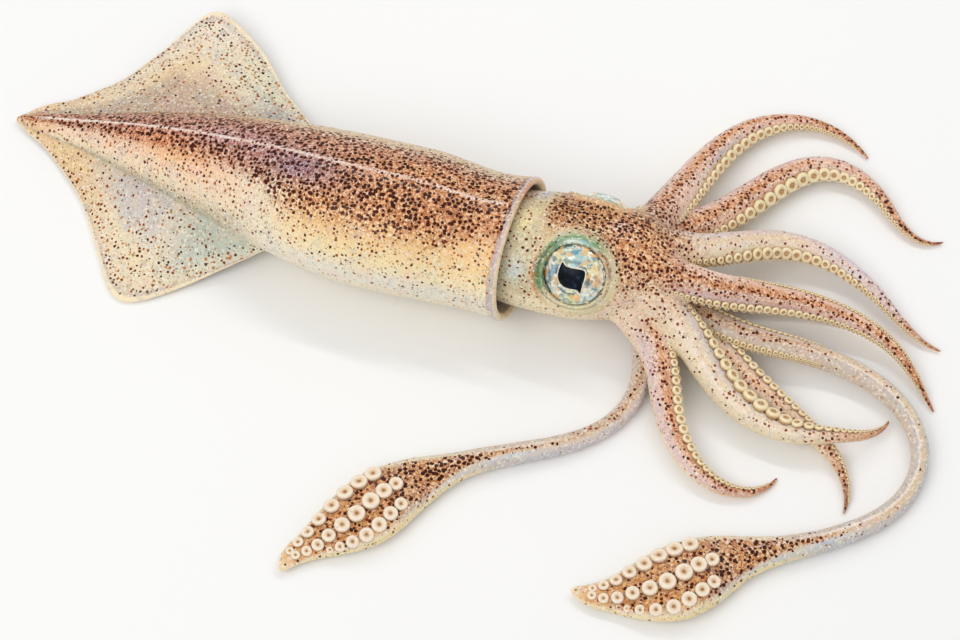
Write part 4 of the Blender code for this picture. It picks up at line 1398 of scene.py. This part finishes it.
# Down the drum's side the colour darkens towards the foot: painted shade over ochre flesh, with a dark line
# where it meets the skin.
DRUM = (
    (0.78, -0.50, (0.30, 0.17, 0.09)),
    (0.92, -0.12, (0.44, 0.28, 0.17)),
    (0.99, 0.14, (0.56, 0.40, 0.28)),
    (1.00, 0.36, (0.74, 0.60, 0.48)),
    (0.96, 0.54, (0.92, 0.83, 0.72)),
    (0.86, 0.67, (0.96, 0.90, 0.81)),
    (0.70, 0.71, (0.96, 0.90, 0.82)),
    (0.54, 0.68, (0.94, 0.86, 0.77)),
    (0.36, 0.62, (0.90, 0.80, 0.67)),
    (0.24, 0.54, (0.84, 0.68, 0.46)),
    (0.16, 0.48, (0.62, 0.42, 0.22)),
)
DRUM_MIDDLE = (0.46, (0.66, 0.46, 0.24))


def cup_object(name, profile, middle, sides):
    """One sucker, opening along +Z, with a radius of one."""
    middle_height, middle_colour = middle
    angle = np.linspace(0, 2 * math.pi, sides, endpoint=False)
    rings = [
        np.stack([r * np.cos(angle), r * np.sin(angle), 0 * angle + h], axis=-1)
        for r, h, _ in profile
    ]
    points = np.stack(rings)
    faces = grid_faces(len(profile), sides, closed=True)
    pole = len(profile) * sides
    faces += [(pole, (len(profile) - 1) * sides + i, pole - sides + (i + 1) % sides) for i in range(sides)]
    faces.append(tuple(range(sides)))
    colours = np.repeat(np.stack([linear(c) for _, _, c in profile])[:, None], sides, axis=1)
    mesh = bpy.data.meshes.new(name)
    mesh.from_pydata([*points.reshape(-1, 3).tolist(), (0, 0, middle_height)], [], faces)
    set_values(mesh, {"tint": np.concatenate([colours.reshape(-1, 3), linear(middle_colour)[None]])})
    face_outwards(mesh)
    return add_piece(name, mesh)


def sucker_tree(name, cup, finish):
    """Geometry Nodes that set a sucker on every point, facing its own way at its own size."""
    tree = bpy.data.node_groups.new(name, "GeometryNodeTree")
    tree.interface.new_socket("Points", in_out="INPUT", socket_type="NodeSocketGeometry")
    size_in = tree.interface.new_socket("Size", in_out="INPUT", socket_type="NodeSocketFloat")
    lean_in = tree.interface.new_socket("Lean", in_out="INPUT", socket_type="NodeSocketFloat")
    tree.interface.new_socket("Suckers", in_out="OUTPUT", socket_type="NodeSocketGeometry")
    nodes, link = tree.nodes, tree.links.new
    given = nodes.new("NodeGroupInput")
    result = nodes.new("NodeGroupOutput")
    stamp = nodes.new("GeometryNodeInstanceOnPoints")
    source = nodes.new("GeometryNodeObjectInfo")
    source.inputs["Object"].default_value = cup
    size = nodes.new("GeometryNodeInputNamedAttribute")
    size.data_type = "FLOAT"
    size.inputs["Name"].default_value = "size"
    facing = nodes.new("GeometryNodeInputNamedAttribute")
    facing.data_type = "FLOAT_VECTOR"
    facing.inputs["Name"].default_value = "facing"
    wobble = nodes.new("FunctionNodeRandomValue")
    wobble.data_type = "FLOAT_VECTOR"
    wobble.inputs[0].default_value = (-1.0, -1.0, -1.0)
    wobble.inputs[1].default_value = (1.0, 1.0, 1.0)
    wobble.inputs["Seed"].default_value = 11
    leaning = nodes.new("ShaderNodeVectorMath")
    leaning.operation = "SCALE"
    leaned = nodes.new("ShaderNodeVectorMath")
    leaned.operation = "ADD"
    turn = nodes.new("FunctionNodeAlignRotationToVector")
    turn.axis = "Z"
    scaled = nodes.new("ShaderNodeMath")
    scaled.operation = "MULTIPLY"
    real = nodes.new("GeometryNodeRealizeInstances")
    skin = nodes.new("GeometryNodeSetMaterial")
    skin.inputs["Material"].default_value = finish
    link(given.outputs["Points"], stamp.inputs["Points"])
    link(source.outputs["Geometry"], stamp.inputs["Instance"])
    link(wobble.outputs[0], leaning.inputs[0])
    link(given.outputs["Lean"], leaning.inputs["Scale"])
    link(facing.outputs["Attribute"], leaned.inputs[0])
    link(leaning.outputs[0], leaned.inputs[1])
    link(leaned.outputs[0], turn.inputs["Vector"])
    link(turn.outputs[0], stamp.inputs["Rotation"])
    link(size.outputs["Attribute"], scaled.inputs[0])
    link(given.outputs["Size"], scaled.inputs[1])
    link(scaled.outputs[0], stamp.inputs["Scale"])
    link(stamp.outputs[0], real.inputs[0])
    link(real.outputs[0], skin.inputs["Geometry"])
    link(skin.outputs[0], result.inputs[0])
    return tree, size_in.identifier, lean_in.identifier


def build_suckers(name, cup, places, facings, sizes, finish, lean=0.10):
    """A piece of many suckers at places, each opening along its facing."""
    mesh = bpy.data.meshes.new(name + "_points")
    mesh.from_pydata(np.asarray(places).tolist(), [], [])
    size = mesh.attributes.new("size", "FLOAT", "POINT")
    size.data.foreach_set("value", np.asarray(sizes, np.float32))
    facing = mesh.attributes.new("facing", "FLOAT_VECTOR", "POINT")
    facing.data.foreach_set("vector", np.asarray(facings, np.float32).ravel())
    points = add_piece(name + "_points", mesh)
    tree, size_id, lean_id = sucker_tree(name + "_nodes", cup, finish)
    modifier = points.modifiers.new("Suckers", "NODES")
    modifier.node_group = tree
    modifier[size_id] = 1.0
    modifier[lean_id] = lean
    piece = evaluated_piece(points, name)
    piece.data.shade_smooth()
    return piece


@dataclass
class SuckerRow:
    """Suckers along one side of a limb: angles are from straight up, + to the left."""

    limb: str
    place: float
    facing: float
    sizes: tuple  # (share of the length, radius) knots
    back: float = 19.0  # degrees further round of every second sucker
    spacing: float = 1.12  # radii between neighbours of the two rows


SUCKER_ROWS = (
    SuckerRow(
        "arm_left_2", -72, -50,
        ((0.13, 0.0009), (0.28, 0.0017), (0.40, 0.0022), (0.62, 0.0020), (0.76, 0.0011), (0.95, 0.0004)),
    ),
    SuckerRow(
        "arm_left_3", -72, -50,
        (
            (0.14, 0.0011), (0.26, 0.0022), (0.40, 0.0029), (0.56, 0.0026),
            (0.68, 0.0019), (0.80, 0.0011), (0.96, 0.0004),
        ),
    ),
    SuckerRow(
        "arm_left_1", -72, -50,
        (
            (0.14, 0.0009), (0.22, 0.0015), (0.30, 0.0022), (0.46, 0.0023),
            (0.60, 0.0018), (0.76, 0.0010), (0.96, 0.0004),
        ),
    ),
    SuckerRow("arm_left_4", -78, -70, ((0.30, 0.0009), (0.60, 0.0010), (0.95, 0.0004))),
    SuckerRow(
        "arm_right_1", -80, -66,
        (
            (0.13, 0.0009), (0.25, 0.0014), (0.38, 0.0016), (0.50, 0.0014),
            (0.62, 0.0010), (0.80, 0.0007), (0.96, 0.0004),
        ),
    ),
    SuckerRow(
        "arm_right_1", 40, 34,
        ((0.30, 0.0005), (0.45, 0.0008), (0.62, 0.0008), (0.80, 0.0006), (0.95, 0.0004)),
    ),
    SuckerRow(
        "arm_right_2", 47, 28,
        (
            (0.14, 0.0010), (0.26, 0.0020), (0.38, 0.0026), (0.60, 0.0027),
            (0.72, 0.0018), (0.84, 0.0010), (0.96, 0.0004),
        ),
    ),
    SuckerRow(
        "arm_right_3", 47, 28,
        ((0.16, 0.0009), (0.32, 0.0017), (0.50, 0.0020), (0.66, 0.0016), (0.80, 0.0010), (0.96, 0.0004)),
    ),
    SuckerRow(
        "arm_right_4", 47, 28,
        ((0.14, 0.0010), (0.30, 0.0016), (0.50, 0.0018), (0.70, 0.0013), (0.84, 0.0008), (0.96, 0.0004)),
    ),
    SuckerRow("tentacle_left", 66, 50, ((0.04, 0.0010), (0.12, 0.0012), (0.20, 0.0008), (0.23, 0.0005))),
    SuckerRow("tentacle_left", -66, -50, ((0.04, 0.0010), (0.12, 0.0012), (0.20, 0.0008), (0.23, 0.0005))),
)


def row_of_suckers(row, line, radius, length):
    """Places, facings and sizes of the two alternating lines of suckers in a row."""
    onward, left, up = directions(line)
    size_at = smooth_through(row.sizes)
    share, last = row.sizes[0][0], row.sizes[-1][0]
    index = np.arange(len(line))
    places, facings, sizes = [], [], []
    sign = 1 if row.place > 0 else -1
    while share < last:
        size = float(size_at(share))
        i = share * (len(line) - 1)
        spot = [
            np.array([np.interp(i, index, array[:, axis]) for axis in range(3)])
            for array in (line, left, up)
        ]
        behind = len(places) % 2
        size *= 1 - 0.22 * behind
        turn = math.radians(row.place + sign * row.back * behind)
        face = math.radians(row.facing + sign * 1.3 * row.back * behind)
        out = spot[2] * math.cos(turn) + spot[1] * math.sin(turn)
        facing = spot[2] * math.cos(face) + spot[1] * math.sin(face)
        place = spot[0] + out * (np.interp(i, index, radius) - 0.10 * size) + facing * 0.30 * size
        place[2] = max(place[2], 0.6 * size)
        places.append(place)
        facings.append(facing)
        sizes.append(size)
        share += row.spacing * size / length
    return places, facings, sizes


def build_arm_suckers(lines, finish):
    """The rows of suckers on the limbs, the large ones with more shape than the small."""
    lines = dict(lines)
    stalk = TENTACLES["tentacle_left"]
    from_tip = stalk.length * np.linspace(1, 0, PATH_STEPS + 1)
    lines["tentacle_left"] = tentacle_frame("tentacle_left", stalk, from_tip)[::2]
    places, facings, sizes = [], [], []
    for row in SUCKER_ROWS:
        length = {**ARMS, **TENTACLES}[row.limb].length
        found = row_of_suckers(row, *lines[row.limb], length)
        for whole, part in zip((places, facings, sizes), found):
            whole.extend(part)
    places, facings, sizes = (np.array(values) for values in (places, facings, sizes))
    large = sizes > 0.00135
    cups = (
        cup_object("small_cup", CUP, CUP_MIDDLE, 9),
        cup_object("large_cup", BIG_CUP, BIG_CUP_MIDDLE, 18),
    )
    pieces = []
    groups = (("arm_suckers_small", cups[0], ~large), ("arm_suckers_large", cups[1], large))
    for name, cup, chosen in groups:
        pieces.append(build_suckers(name, cup, places[chosen], facings[chosen], sizes[chosen], finish))
        bpy.data.objects.remove(cup)
    return pieces


CLUB_SUCKERS = (  # (distance from the tip, place across, radius) along each row
    (
        (0.006, -0.40, 0.0014),
        (0.012, -0.50, 0.0021),
        (0.018, -0.62, 0.0025),
        (0.0246, -0.68, 0.0029),
        (0.0314, -0.72, 0.0031),
        (0.0465, -0.72, 0.0031),
    ),
    (
        (0.006, 0.12, 0.0016),
        (0.012, 0.34, 0.0020),
        (0.017, 0.27, 0.0024),
        (0.0223, 0.14, 0.0027),
        (0.028, 0.08, 0.0030),
        (0.034, 0.02, 0.0032),
        (0.042, -0.08, 0.0032),
        (0.0515, -0.10, 0.0026),
    ),
    (
        (0.0135, 0.70, 0.0008),
        (0.0165, 0.72, 0.0010),
        (0.0214, 0.74, 0.0018),
        (0.027, 0.72, 0.0024),
        (0.034, 0.68, 0.0028),
        (0.040, 0.58, 0.0028),
        (0.049, 0.48, 0.0024),
    ),
)


def build_club_suckers(name, finish):
    """Three rows of broad suckers on a club's palm."""
    limb = TENTACLES[name]
    places, facings, sizes = [], [], []
    for row in CLUB_SUCKERS:
        row_at = smooth_through(row)
        distance = row[-1][0] - 0.001
        while distance > row[0][0]:
            offset, size = row_at(distance)
            middle, left, half_width, half_height = tentacle_frame(name, limb, np.array([distance]))
            place = middle[0] + left[0] * offset * half_width[0]
            place[2] += half_height[0] * 0.86 * (1 - abs(offset)) ** 0.30 - 0.0004
            facing = np.array([0.0, 0.0, 1.0]) + left[0] * offset * 0.35
            places.append(place)
            facings.append(facing / np.linalg.norm(facing))
            sizes.append(size)
            distance -= 1.96 * size
    cup = cup_object("drum", DRUM, DRUM_MIDDLE, 22)
    piece = build_suckers(name + "_suckers", cup, places, facings, sizes, finish, lean=0.06)
    bpy.data.objects.remove(cup)
    return piece


# ---- Eyes ----

PUPIL_OUTLINE = (  # forward and up from the eye's middle
    (-0.0047, 0.0046),
    (-0.0032, 0.0038),
    (-0.0006, 0.0038),
    (0.0020, 0.0041),
    (0.0038, 0.0039),
    (0.0044, 0.0020),
    (0.0043, -0.0012),
    (0.0041, -0.0044),
    (0.0026, -0.0036),
    (-0.0009, -0.0039),
    (-0.0032, -0.0032),
    (-0.0049, -0.0012),
    (-0.0052, 0.0016),
)
PUPIL_POINTS = 156
PUPIL_RISE = 0.00022
PUPIL_RIM = 0.00026


def eye_surface(flat):
    """How far out the eyeball's surface is at places across it."""
    share = np.clip((np.asarray(flat) ** 2).sum(-1) / EYE_RADIUS**2, 0.0, 0.999)
    return EYE_DEPTH * np.sqrt(1 - share)


def pupil_outline():
    """A closed smooth line through the corners and sides of the pupil."""
    knots = np.array(PUPIL_OUTLINE)
    count = len(knots)
    points = []
    for i in range(count):
        a, b, c, d = (knots[(i + k) % count] for k in (-1, 0, 1, 2))
        for t in np.linspace(0, 1, PUPIL_POINTS // count, endpoint=False):
            points.append(
                0.5 * (2 * b + (c - a) * t + (2 * a - 5 * b + 4 * c - d) * t**2 + (3 * b - a - 3 * c + d) * t**3)
            )
    return np.array(points)


def on_eye(side, flat, rise):
    """Points over the eyeball from places across it and rises above its surface."""
    middle, forward, upward, outward = eye_axes(side, EYE_OUT)
    out = eye_surface(flat) + rise
    return middle + flat[..., :1] * forward + flat[..., 1:] * upward + out[..., None] * outward


def build_eyeball(name, side):
    """The eyeball with its mottled iris painted on."""
    rings = ball_rings(side, EYE_OUT, EYE_RADIUS, EYE_DEPTH, 100, 128)
    middle, forward, upward, _ = eye_axes(side, EYE_OUT)
    a = ((rings - middle) @ forward) * 1000
    b = ((rings - middle) @ upward) * 1000
    ring = np.hypot(a, b)
    turn = np.degrees(np.arctan2(b, a))
    paint = Paint(a.shape, (0.74, 0.82, 0.80))
    paint.wash((0.56, 0.78, 0.80), 0.7 * hill(turn, 100, 36))
    paint.wash((0.54, 0.62, 0.72), 0.8 * (hill(turn, 178, 34) + hill(turn, -182, 34)))
    paint.wash((0.96, 0.86, 0.60), 0.85 * hill(turn, 34, 24))
    paint.wash((0.97, 0.70, 0.48), 0.8 * hill(turn, 8, 15))
    paint.wash((0.78, 0.90, 0.94), 0.7 * hill(turn, -40, 18))
    paint.wash((0.86, 0.88, 0.56), 0.75 * hill(turn, -80, 18))
    paint.wash((0.97, 0.95, 0.86), 0.75 * hill(turn, -115, 16))
    paint.wash((0.95, 0.86, 0.58), 0.75 * hill(turn, 140, 16))
    paint.wash((0.22, 0.26, 0.30), 0.85 * hill(ring, 5.9, 0.5))
    paint.wash((0.95, 0.90, 0.72), 0.5 * hill(ring, 9.8, 0.4))
    paint.wash((0.20, 0.28, 0.32), 0.9 * ease(ring, 10.25, 10.6))
    mesh = loft_mesh(name + "_ball", rings, {"tint": paint.tint})
    face_outwards(mesh)
    return add_piece(name + "_ball", mesh)


def build_pupil(name, side):
    """The glossy black pupil, a little proud of the eyeball."""
    outline = pupil_outline()
    shares = np.concatenate([[0.97, 1.0, 0.985], np.linspace(0.93, 0.08, 12)])
    rises = np.concatenate([[-0.0003, 0.0], [0.6], 0.6 + 0.4 * np.sin(np.linspace(0.3, 1.57, 12))])
    rises[2:] *= PUPIL_RISE
    middle = outline.mean(axis=0)
    flat = middle + (outline - middle)[None] * shares[:, None, None]
    points = on_eye(side, flat, np.repeat(rises[:, None], len(outline), axis=1))
    mesh = loft_mesh(name + "_pupil", points)
    face_outwards(mesh)
    return add_piece(name + "_pupil", mesh)


def build_pupil_rim(name, side):
    """The pale line round the pupil."""
    outline = pupil_outline()
    middle = outline.mean(axis=0)
    along = np.roll(outline, -1, axis=0) - np.roll(outline, 1, axis=0)
    away = np.stack([along[:, 1], -along[:, 0]], axis=-1)
    away /= np.linalg.norm(away, axis=-1, keepdims=True)
    away *= np.sign(((outline - middle) * away).sum(-1, keepdims=True))
    angle = np.linspace(0, 2 * math.pi, 10, endpoint=False)
    flat = outline[:, None] + away[:, None] * (PUPIL_RIM * (0.7 + np.cos(angle)))[None, :, None]
    rise = np.repeat(0.0001 + 0.7 * PUPIL_RIM * np.sin(angle)[None], len(outline), axis=0)
    points = on_eye(side, flat, rise)
    count, sides = points.shape[:2]
    closed = np.concatenate([points, points[:1]], axis=0)
    faces = np.array(grid_faces(count + 1, sides, closed=True)) % (count * sides)
    mesh = bpy.data.meshes.new(name + "_pupil_rim")
    mesh.from_pydata(closed[:-1].reshape(-1, 3).tolist(), [], faces.tolist())
    face_outwards(mesh)
    return add_piece(name + "_pupil_rim", mesh)


LID_RINGS = 64
LID_SIDES = 200
LID_INNER = 0.0106
LID_OUTER = 0.0168
FAR_LID_OUTER = 0.0146
LID_BASE = 0.0126  # nearer the eye than this the lids keep the skin's height there
LID_THICKNESS = 0.0012


def lid_paint(ring, turn, side):
    """The lids' colours: green above with painted white-blue highlights, rust beside the iris, cream below."""
    r = ring * 1000
    near = 0.45 if side > 0 else 1.0
    paint = Paint(r.shape, (0.88, 0.82, 0.66), specks=0.25)
    paint.wash((0.84, 0.84, 0.60), 0.6 * hill(turn, -75, 30))
    paint.wash((0.94, 0.87, 0.70), 0.8 * hill(turn, -105, 40))
    over = np.where(turn < -110, turn + 360, turn)
    top = ease(over, 34, 70) * (1 - ease(over, 205, 235)) * (1 - ease(r, 13.6, 15.2))
    paint.wash((0.42, 0.60, 0.40), 0.95 * near * top)
    # Pale blue and near-white marks on the green band: painted highlights.
    paint.wash((0.66, 0.84, 0.86), 0.9 * hill(turn, 92, 18) * hill(r, 12.4, 0.7))
    paint.wash((0.95, 0.99, 0.96), 0.9 * near * hill(turn, 112, 14) * hill(r, 12.5, 0.6))
    paint.wash((0.92, 0.97, 0.88), 0.7 * near * hill(turn, 66, 7) * hill(r, 12.3, 0.5))
    paint.wash((0.24, 0.42, 0.36), 0.8 * near * hill(over, 168, 30) * hill(r, 12.6, 1.0))
    paint.wash((0.64, 0.27, 0.08), 0.95 * near * hill(turn, 34, 26) * hill(r, 12.2, 1.1))
    paint.wash((0.66, 0.30, 0.10), 0.9 * hill(over, 184, 20) * hill(r, 14.4, 0.7))
    paint.wash((0.80, 0.48, 0.24), 0.8 * hill(over, 212, 22) * hill(r, 14.6, 0.9))
    paint.wash((0.50, 0.27, 0.12), 0.85 * hill(r, 11.35, 0.30) * hill(turn, 74, 55))
    paint.wash((0.20, 0.22, 0.20), 0.9 * (1 - ease(r, 10.8, 11.15)))
    paint.wash((0.92, 0.89, 0.74), 0.6 * hill(r, 11.8, 0.35) * (1 - top))
    paint.wash((0.40, 0.38, 0.28), 0.6 * hill(r, 12.8, 0.28) * (1 - 0.6 * top))
    paint.wash((0.88, 0.76, 0.58), 0.8 * ease(r, 14.9, 16.2))
    if side > 0:
        paint.wash((0.84, 0.64, 0.44), 0.9 * ease(r, 11.6, 13.0))
    paint.spots = 0.75 * ease(r, 13.6, 15.6) * np.maximum(hill(turn, 60, 70), 0.25)
    return paint


def build_lid(name, side, head):
    """The rolled lids around an eye, laid on the head's skin."""
    graph = bpy.context.evaluated_depsgraph_get()
    tree = BVHTree.FromObject(head, graph)
    middle, forward, upward, outward = eye_axes(side, 0.0)
    outer_radius = LID_OUTER if side < 0 else FAR_LID_OUTER
    ring = np.linspace(LID_INNER, outer_radius, LID_RINGS)
    angle = np.linspace(0, 2 * math.pi, LID_SIDES, endpoint=False)
    base = np.zeros((LID_RINGS, LID_SIDES))
    for i, r in enumerate(ring):
        for j, turn in enumerate(angle):
            clear = max(r, LID_BASE)
            start = middle + clear * (math.cos(turn) * forward + math.sin(turn) * upward) + 0.05 * outward
            hit = tree.ray_cast(Vector(start), Vector(-outward))[0]
            base[i, j] = (np.array(hit) - middle) @ outward if hit else 0.0
    for _ in range(6):
        base = (base + np.roll(base, 1, axis=1) + np.roll(base, -1, axis=1)) / 3
        base[1:-1] = (base[:-2] + base[1:-1] + base[2:]) / 3
    r = ring[:, None] * 1000
    turn = np.degrees(angle)[None, :]
    turn = np.where(turn > 180, turn - 360, turn)
    back = np.clip(hill(turn, 180, 75) + hill(turn, -180, 75) + 0.6 * hill(turn, 100, 45), 0, 1)
    rolls = 0.75 * hill(r, 11.6, 0.55) + (0.30 + 0.45 * back) * hill(r, 13.8, 0.8)
    rolls += 0.35 * back * hill(r, 15.4, 0.5) - 0.12 * hill(r, 12.6, 0.3)
    edge = outer_radius * 1000
    rolls -= 1.2 * (1 - ease(r, 10.5, 11.3)) + 0.60 * ease(r, edge - 1.1, edge - 0.1)
    top = base + (0.16 + rolls) / 1000
    flat = np.cos(angle)[:, None] * forward + np.sin(angle)[:, None] * upward
    upper = middle + ring[:, None, None] * flat + top[..., None] * outward
    upper += (0.00007 * waviness(upper, 0.0022, 9))[..., None] * outward
    lower = middle + ring[:, None, None] * flat + (base - LID_THICKNESS)[..., None] * outward
    wall = np.concatenate([upper, lower[::-1]], axis=0)
    paint = lid_paint(np.repeat(ring[:, None], LID_SIDES, axis=1), np.repeat(turn, LID_RINGS, axis=0), side)
    values = {key: np.concatenate([array, array[::-1]]) for key, array in paint.values().items()}
    rows = len(wall)
    closed = np.array(grid_faces(rows + 1, LID_SIDES, closed=True)) % (rows * LID_SIDES)
    mesh = bpy.data.meshes.new(name + "_lids")
    mesh.from_pydata(wall.reshape(-1, 3).tolist(), [], closed.tolist())
    flat = {key: array.reshape(rows * LID_SIDES, *array.shape[2:]) for key, array in values.items()}
    set_values(mesh, flat)
    face_outwards(mesh)
    return add_piece(name + "_lids", mesh)


# ---- Funnel ----


def build_funnel():
    """The jet nozzle under the head, open at its front."""
    start, end = np.array(FUNNEL_START), np.array(FUNNEL_END)
    share = np.concatenate([np.linspace(0, 1, 40), np.linspace(1, 0.6, 14)])
    inside = np.arange(54) >= 40
    radius = FUNNEL_RADII[0] + (FUNNEL_RADII[1] - FUNNEL_RADII[0]) * share
    radius = radius * (1 + 0.06 * hill(share, 0.97, 0.03)) - 0.0009 * inside
    radius[:6] *= np.sqrt(np.linspace(0.15, 1.0, 6))
    middle = start + (end - start) * share[:, None]
    angle = np.linspace(0, 2 * math.pi, 48, endpoint=False)[None, :]
    side = middle[:, 1:2] + radius[:, None] * np.cos(angle)
    height = (middle[:, 2:] + radius[:, None] * np.sin(angle)) * FUNNEL_FLATNESS
    height = np.maximum(height, 0.0001)
    rings = in_row(middle[:, :1] + 0 * angle, side, height)
    paint = Paint(rings.shape[:2], (0.90, 0.85, 0.78), spots=0.04, specks=0.2)
    mesh = loft_mesh("funnel", rings, paint.values())
    face_outwards(mesh)
    return add_piece("funnel", mesh)


# ---- Finishes of the eyes ----


def iris_finish():
    """A wet, mottled, metallic-looking iris in the painted colours."""
    iris = Finish(
        "iris",
        Roughness=0.25,
        Coat_Weight=0.7,
        Coat_Roughness=0.04,
        Specular_IOR_Level=0.4,
    )
    patch, patch_colour = iris.clouds(520.0, 3.0)
    pale = iris.fade(patch, 0.53, 0.60, 0.0, 0.85)
    colour = iris.mix(iris.painted_colour("tint"), (0.98, 0.97, 0.90), pale)
    colour = iris.mix(colour, (0.32, 0.52, 0.62), iris.fade(patch, 0.45, 0.38, 0.0, 0.75))
    second, _ = iris.clouds(380.0, 2.0, iris.vector("ADD", iris.place, (0.3, 0.7, 0.1)))
    colour = iris.mix(colour, (0.93, 0.72, 0.40), iris.fade(second, 0.56, 0.63, 0.0, 0.85))
    colour = iris.mix(colour, (0.40, 0.50, 0.36), iris.fade(second, 0.42, 0.34, 0.0, 0.6))
    iris.feed(iris.shader.inputs["Base Color"], colour)
    iris.relief(patch, 0.0001)
    return iris.material


def pupil_finish():
    """Glossy black with a hint of deep blue."""
    pupil = Finish(
        "pupil_black",
        Roughness=0.30,
        Specular_IOR_Level=0.12,
    )
    depth, _ = pupil.clouds(420.0, 2.0)
    stops = ((0.35, (0.02, 0.02, 0.04)), (0.60, (0.05, 0.09, 0.15)), (0.75, (0.16, 0.24, 0.30)))
    colour = pupil.ramp(depth, stops)
    pupil.feed(pupil.shader.inputs["Base Color"], colour)
    return pupil.material


def rim_finish():
    """Cream with faint mottling."""
    rim = Finish("pupil_rim_cream", Roughness=0.25, Coat_Weight=0.8, Coat_Roughness=0.06)
    mottle, _ = rim.clouds(1200.0, 2.0)
    colour = rim.ramp(mottle, ((0.3, (0.72, 0.70, 0.60)), (0.6, (0.94, 0.92, 0.84))))
    rim.feed(rim.shader.inputs["Base Color"], colour)
    return rim.material


# ---- Floor, light and camera ----

FLOOR_ALBEDO = (0.93, 0.93, 0.925)
CAMERA_AZIMUTH = 20.0
CAMERA_ELEVATION = 60.0
CAMERA_DISTANCE = 1.152
CAMERA_LENS = 120.0
CAMERA_TARGET = (0.0715, -0.0167, 0.0)
WORLD_STRENGTH = 0.62


def area_light(name, size, power, place, target, colour=(1.0, 1.0, 1.0)):
    """A soft rectangular light that faces a target."""
    lamp = bpy.data.lights.new(name, "AREA")
    lamp.shape = "RECTANGLE"
    lamp.size, lamp.size_y = size
    lamp.energy = power
    lamp.color = colour
    made = bpy.data.objects.new(name, lamp)
    made.location = place
    made.rotation_euler = (Vector(target) - Vector(place)).to_track_quat("-Z", "Y").to_euler()
    bpy.context.scene.collection.objects.link(made)
    return made


def build_floor():
    mesh = bpy.data.meshes.new("floor")
    far = 4.0
    mesh.from_pydata([(-far, -far, 0), (far, -far, 0), (far, far, 0), (-far, far, 0)], [], [(0, 1, 2, 3)])
    floor = add_piece("floor", mesh)
    finish = Finish("pale_floor", Roughness=0.9, Specular_IOR_Level=0.1)
    finish.shader.inputs["Base Color"].default_value = (*FLOOR_ALBEDO, 1.0)
    mesh.materials.append(finish.material)


def build_camera(target):
    azimuth, elevation = math.radians(CAMERA_AZIMUTH), math.radians(CAMERA_ELEVATION)
    back = Vector(
        (
            math.sin(azimuth) * math.cos(elevation),
            -math.cos(azimuth) * math.cos(elevation),
            math.sin(elevation),
        )
    )
    camera = bpy.data.cameras.new("camera")
    camera.lens = CAMERA_LENS
    camera.sensor_width = 36.0
    camera.clip_start = 0.05
    made = bpy.data.objects.new("camera", camera)
    made.location = target + back * CAMERA_DISTANCE
    made.rotation_euler = back.to_track_quat("Z", "Y").to_euler()
    bpy.context.scene.collection.objects.link(made)
    bpy.context.scene.camera = made


def build_stage():
    scene = bpy.context.scene
    world = bpy.data.worlds.new("plain_white")
    world.use_nodes = True
    world.node_tree.nodes["Background"].inputs["Color"].default_value = (1.0, 1.0, 1.0, 1.0)
    world.node_tree.nodes["Background"].inputs["Strength"].default_value = WORLD_STRENGTH
    scene.world = world
    scene.view_settings.view_transform = "Standard"
    scene.view_settings.look = "None"
    build_floor()
    build_camera(Vector(CAMERA_TARGET))
    area_light("key", (1.0, 0.8), 6.4, (-0.30, -0.80, 1.05), (0.05, 0.0, 0.0), (1.0, 0.99, 0.98))
    area_light("fill", (0.8, 0.6), 0.8, (0.6, 0.7, 0.9), (0.05, 0.0, 0.0))
    area_light("back_strip", (0.9, 0.035), 1.1, (0.02, 0.36, 0.62), (0.02, 0.0, 0.03))


# ---- Everything together ----

build_stage()
skin_finish = squid_skin("spotted_skin")
arm_finish = squid_skin("arm_skin", spot_scale=650.0, pearl=0.24)
pale_finish = squid_skin("stalk_skin", spot_scale=590.0, pearl=0.26)
sucker_finish = flesh("sucker_flesh")

mantle = build_mantle()
fins = [build_fin(name) for name in FIN_EDGES]
head, arm_lines = build_head()
funnel = build_funnel()
lids = [build_lid(name, side, head) for name, side in (("left", 1), ("right", -1))]
arm_suckers = build_arm_suckers(arm_lines, sucker_finish)
tentacles = {name: build_tentacle(name) for name in TENTACLES}
club_suckers = {name: build_club_suckers(name, sucker_finish) for name in TENTACLES}
EYES = (("eye_left", 1), ("eye_right", -1))
balls = [build_eyeball(name, side) for name, side in EYES]
pupils = [build_pupil(name, side) for name, side in EYES]
rims = [build_pupil_rim(name, side) for name, side in EYES]


def finish_piece(piece, material, slot, *nodes):
    """Gives a piece its material and hands it to the frame."""
    piece.data.materials.clear()
    piece.data.materials.append(material)
    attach(piece, "root")
    if nodes:
        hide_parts(*nodes)


finish_piece(mantle, skin_finish, "mantle_skin", "mantle")
for fin in fins:
    finish_piece(fin, skin_finish, "mantle_skin")
finish_piece(head, arm_finish, "head_skin", "head")
finish_piece(funnel, arm_finish, "head_skin")
for lid in lids:
    finish_piece(lid, arm_finish, "head_skin")
for piece in arm_suckers:
    finish_piece(piece, sucker_finish, "head_skin")
for name, piece in tentacles.items():
    finish_piece(piece, pale_finish, "tentacle_skin", name)
for piece in club_suckers.values():
    finish_piece(piece, sucker_finish, "tentacle_skin")
iris, black, cream = iris_finish(), pupil_finish(), rim_finish()
for node, ball, pupil, rim in zip(("eye_left", "eye_right"), balls, pupils, rims):
    finish_piece(ball, iris, "eye", node)
    finish_piece(pupil, black, "eye")
    finish_piece(rim, cream, "eye")
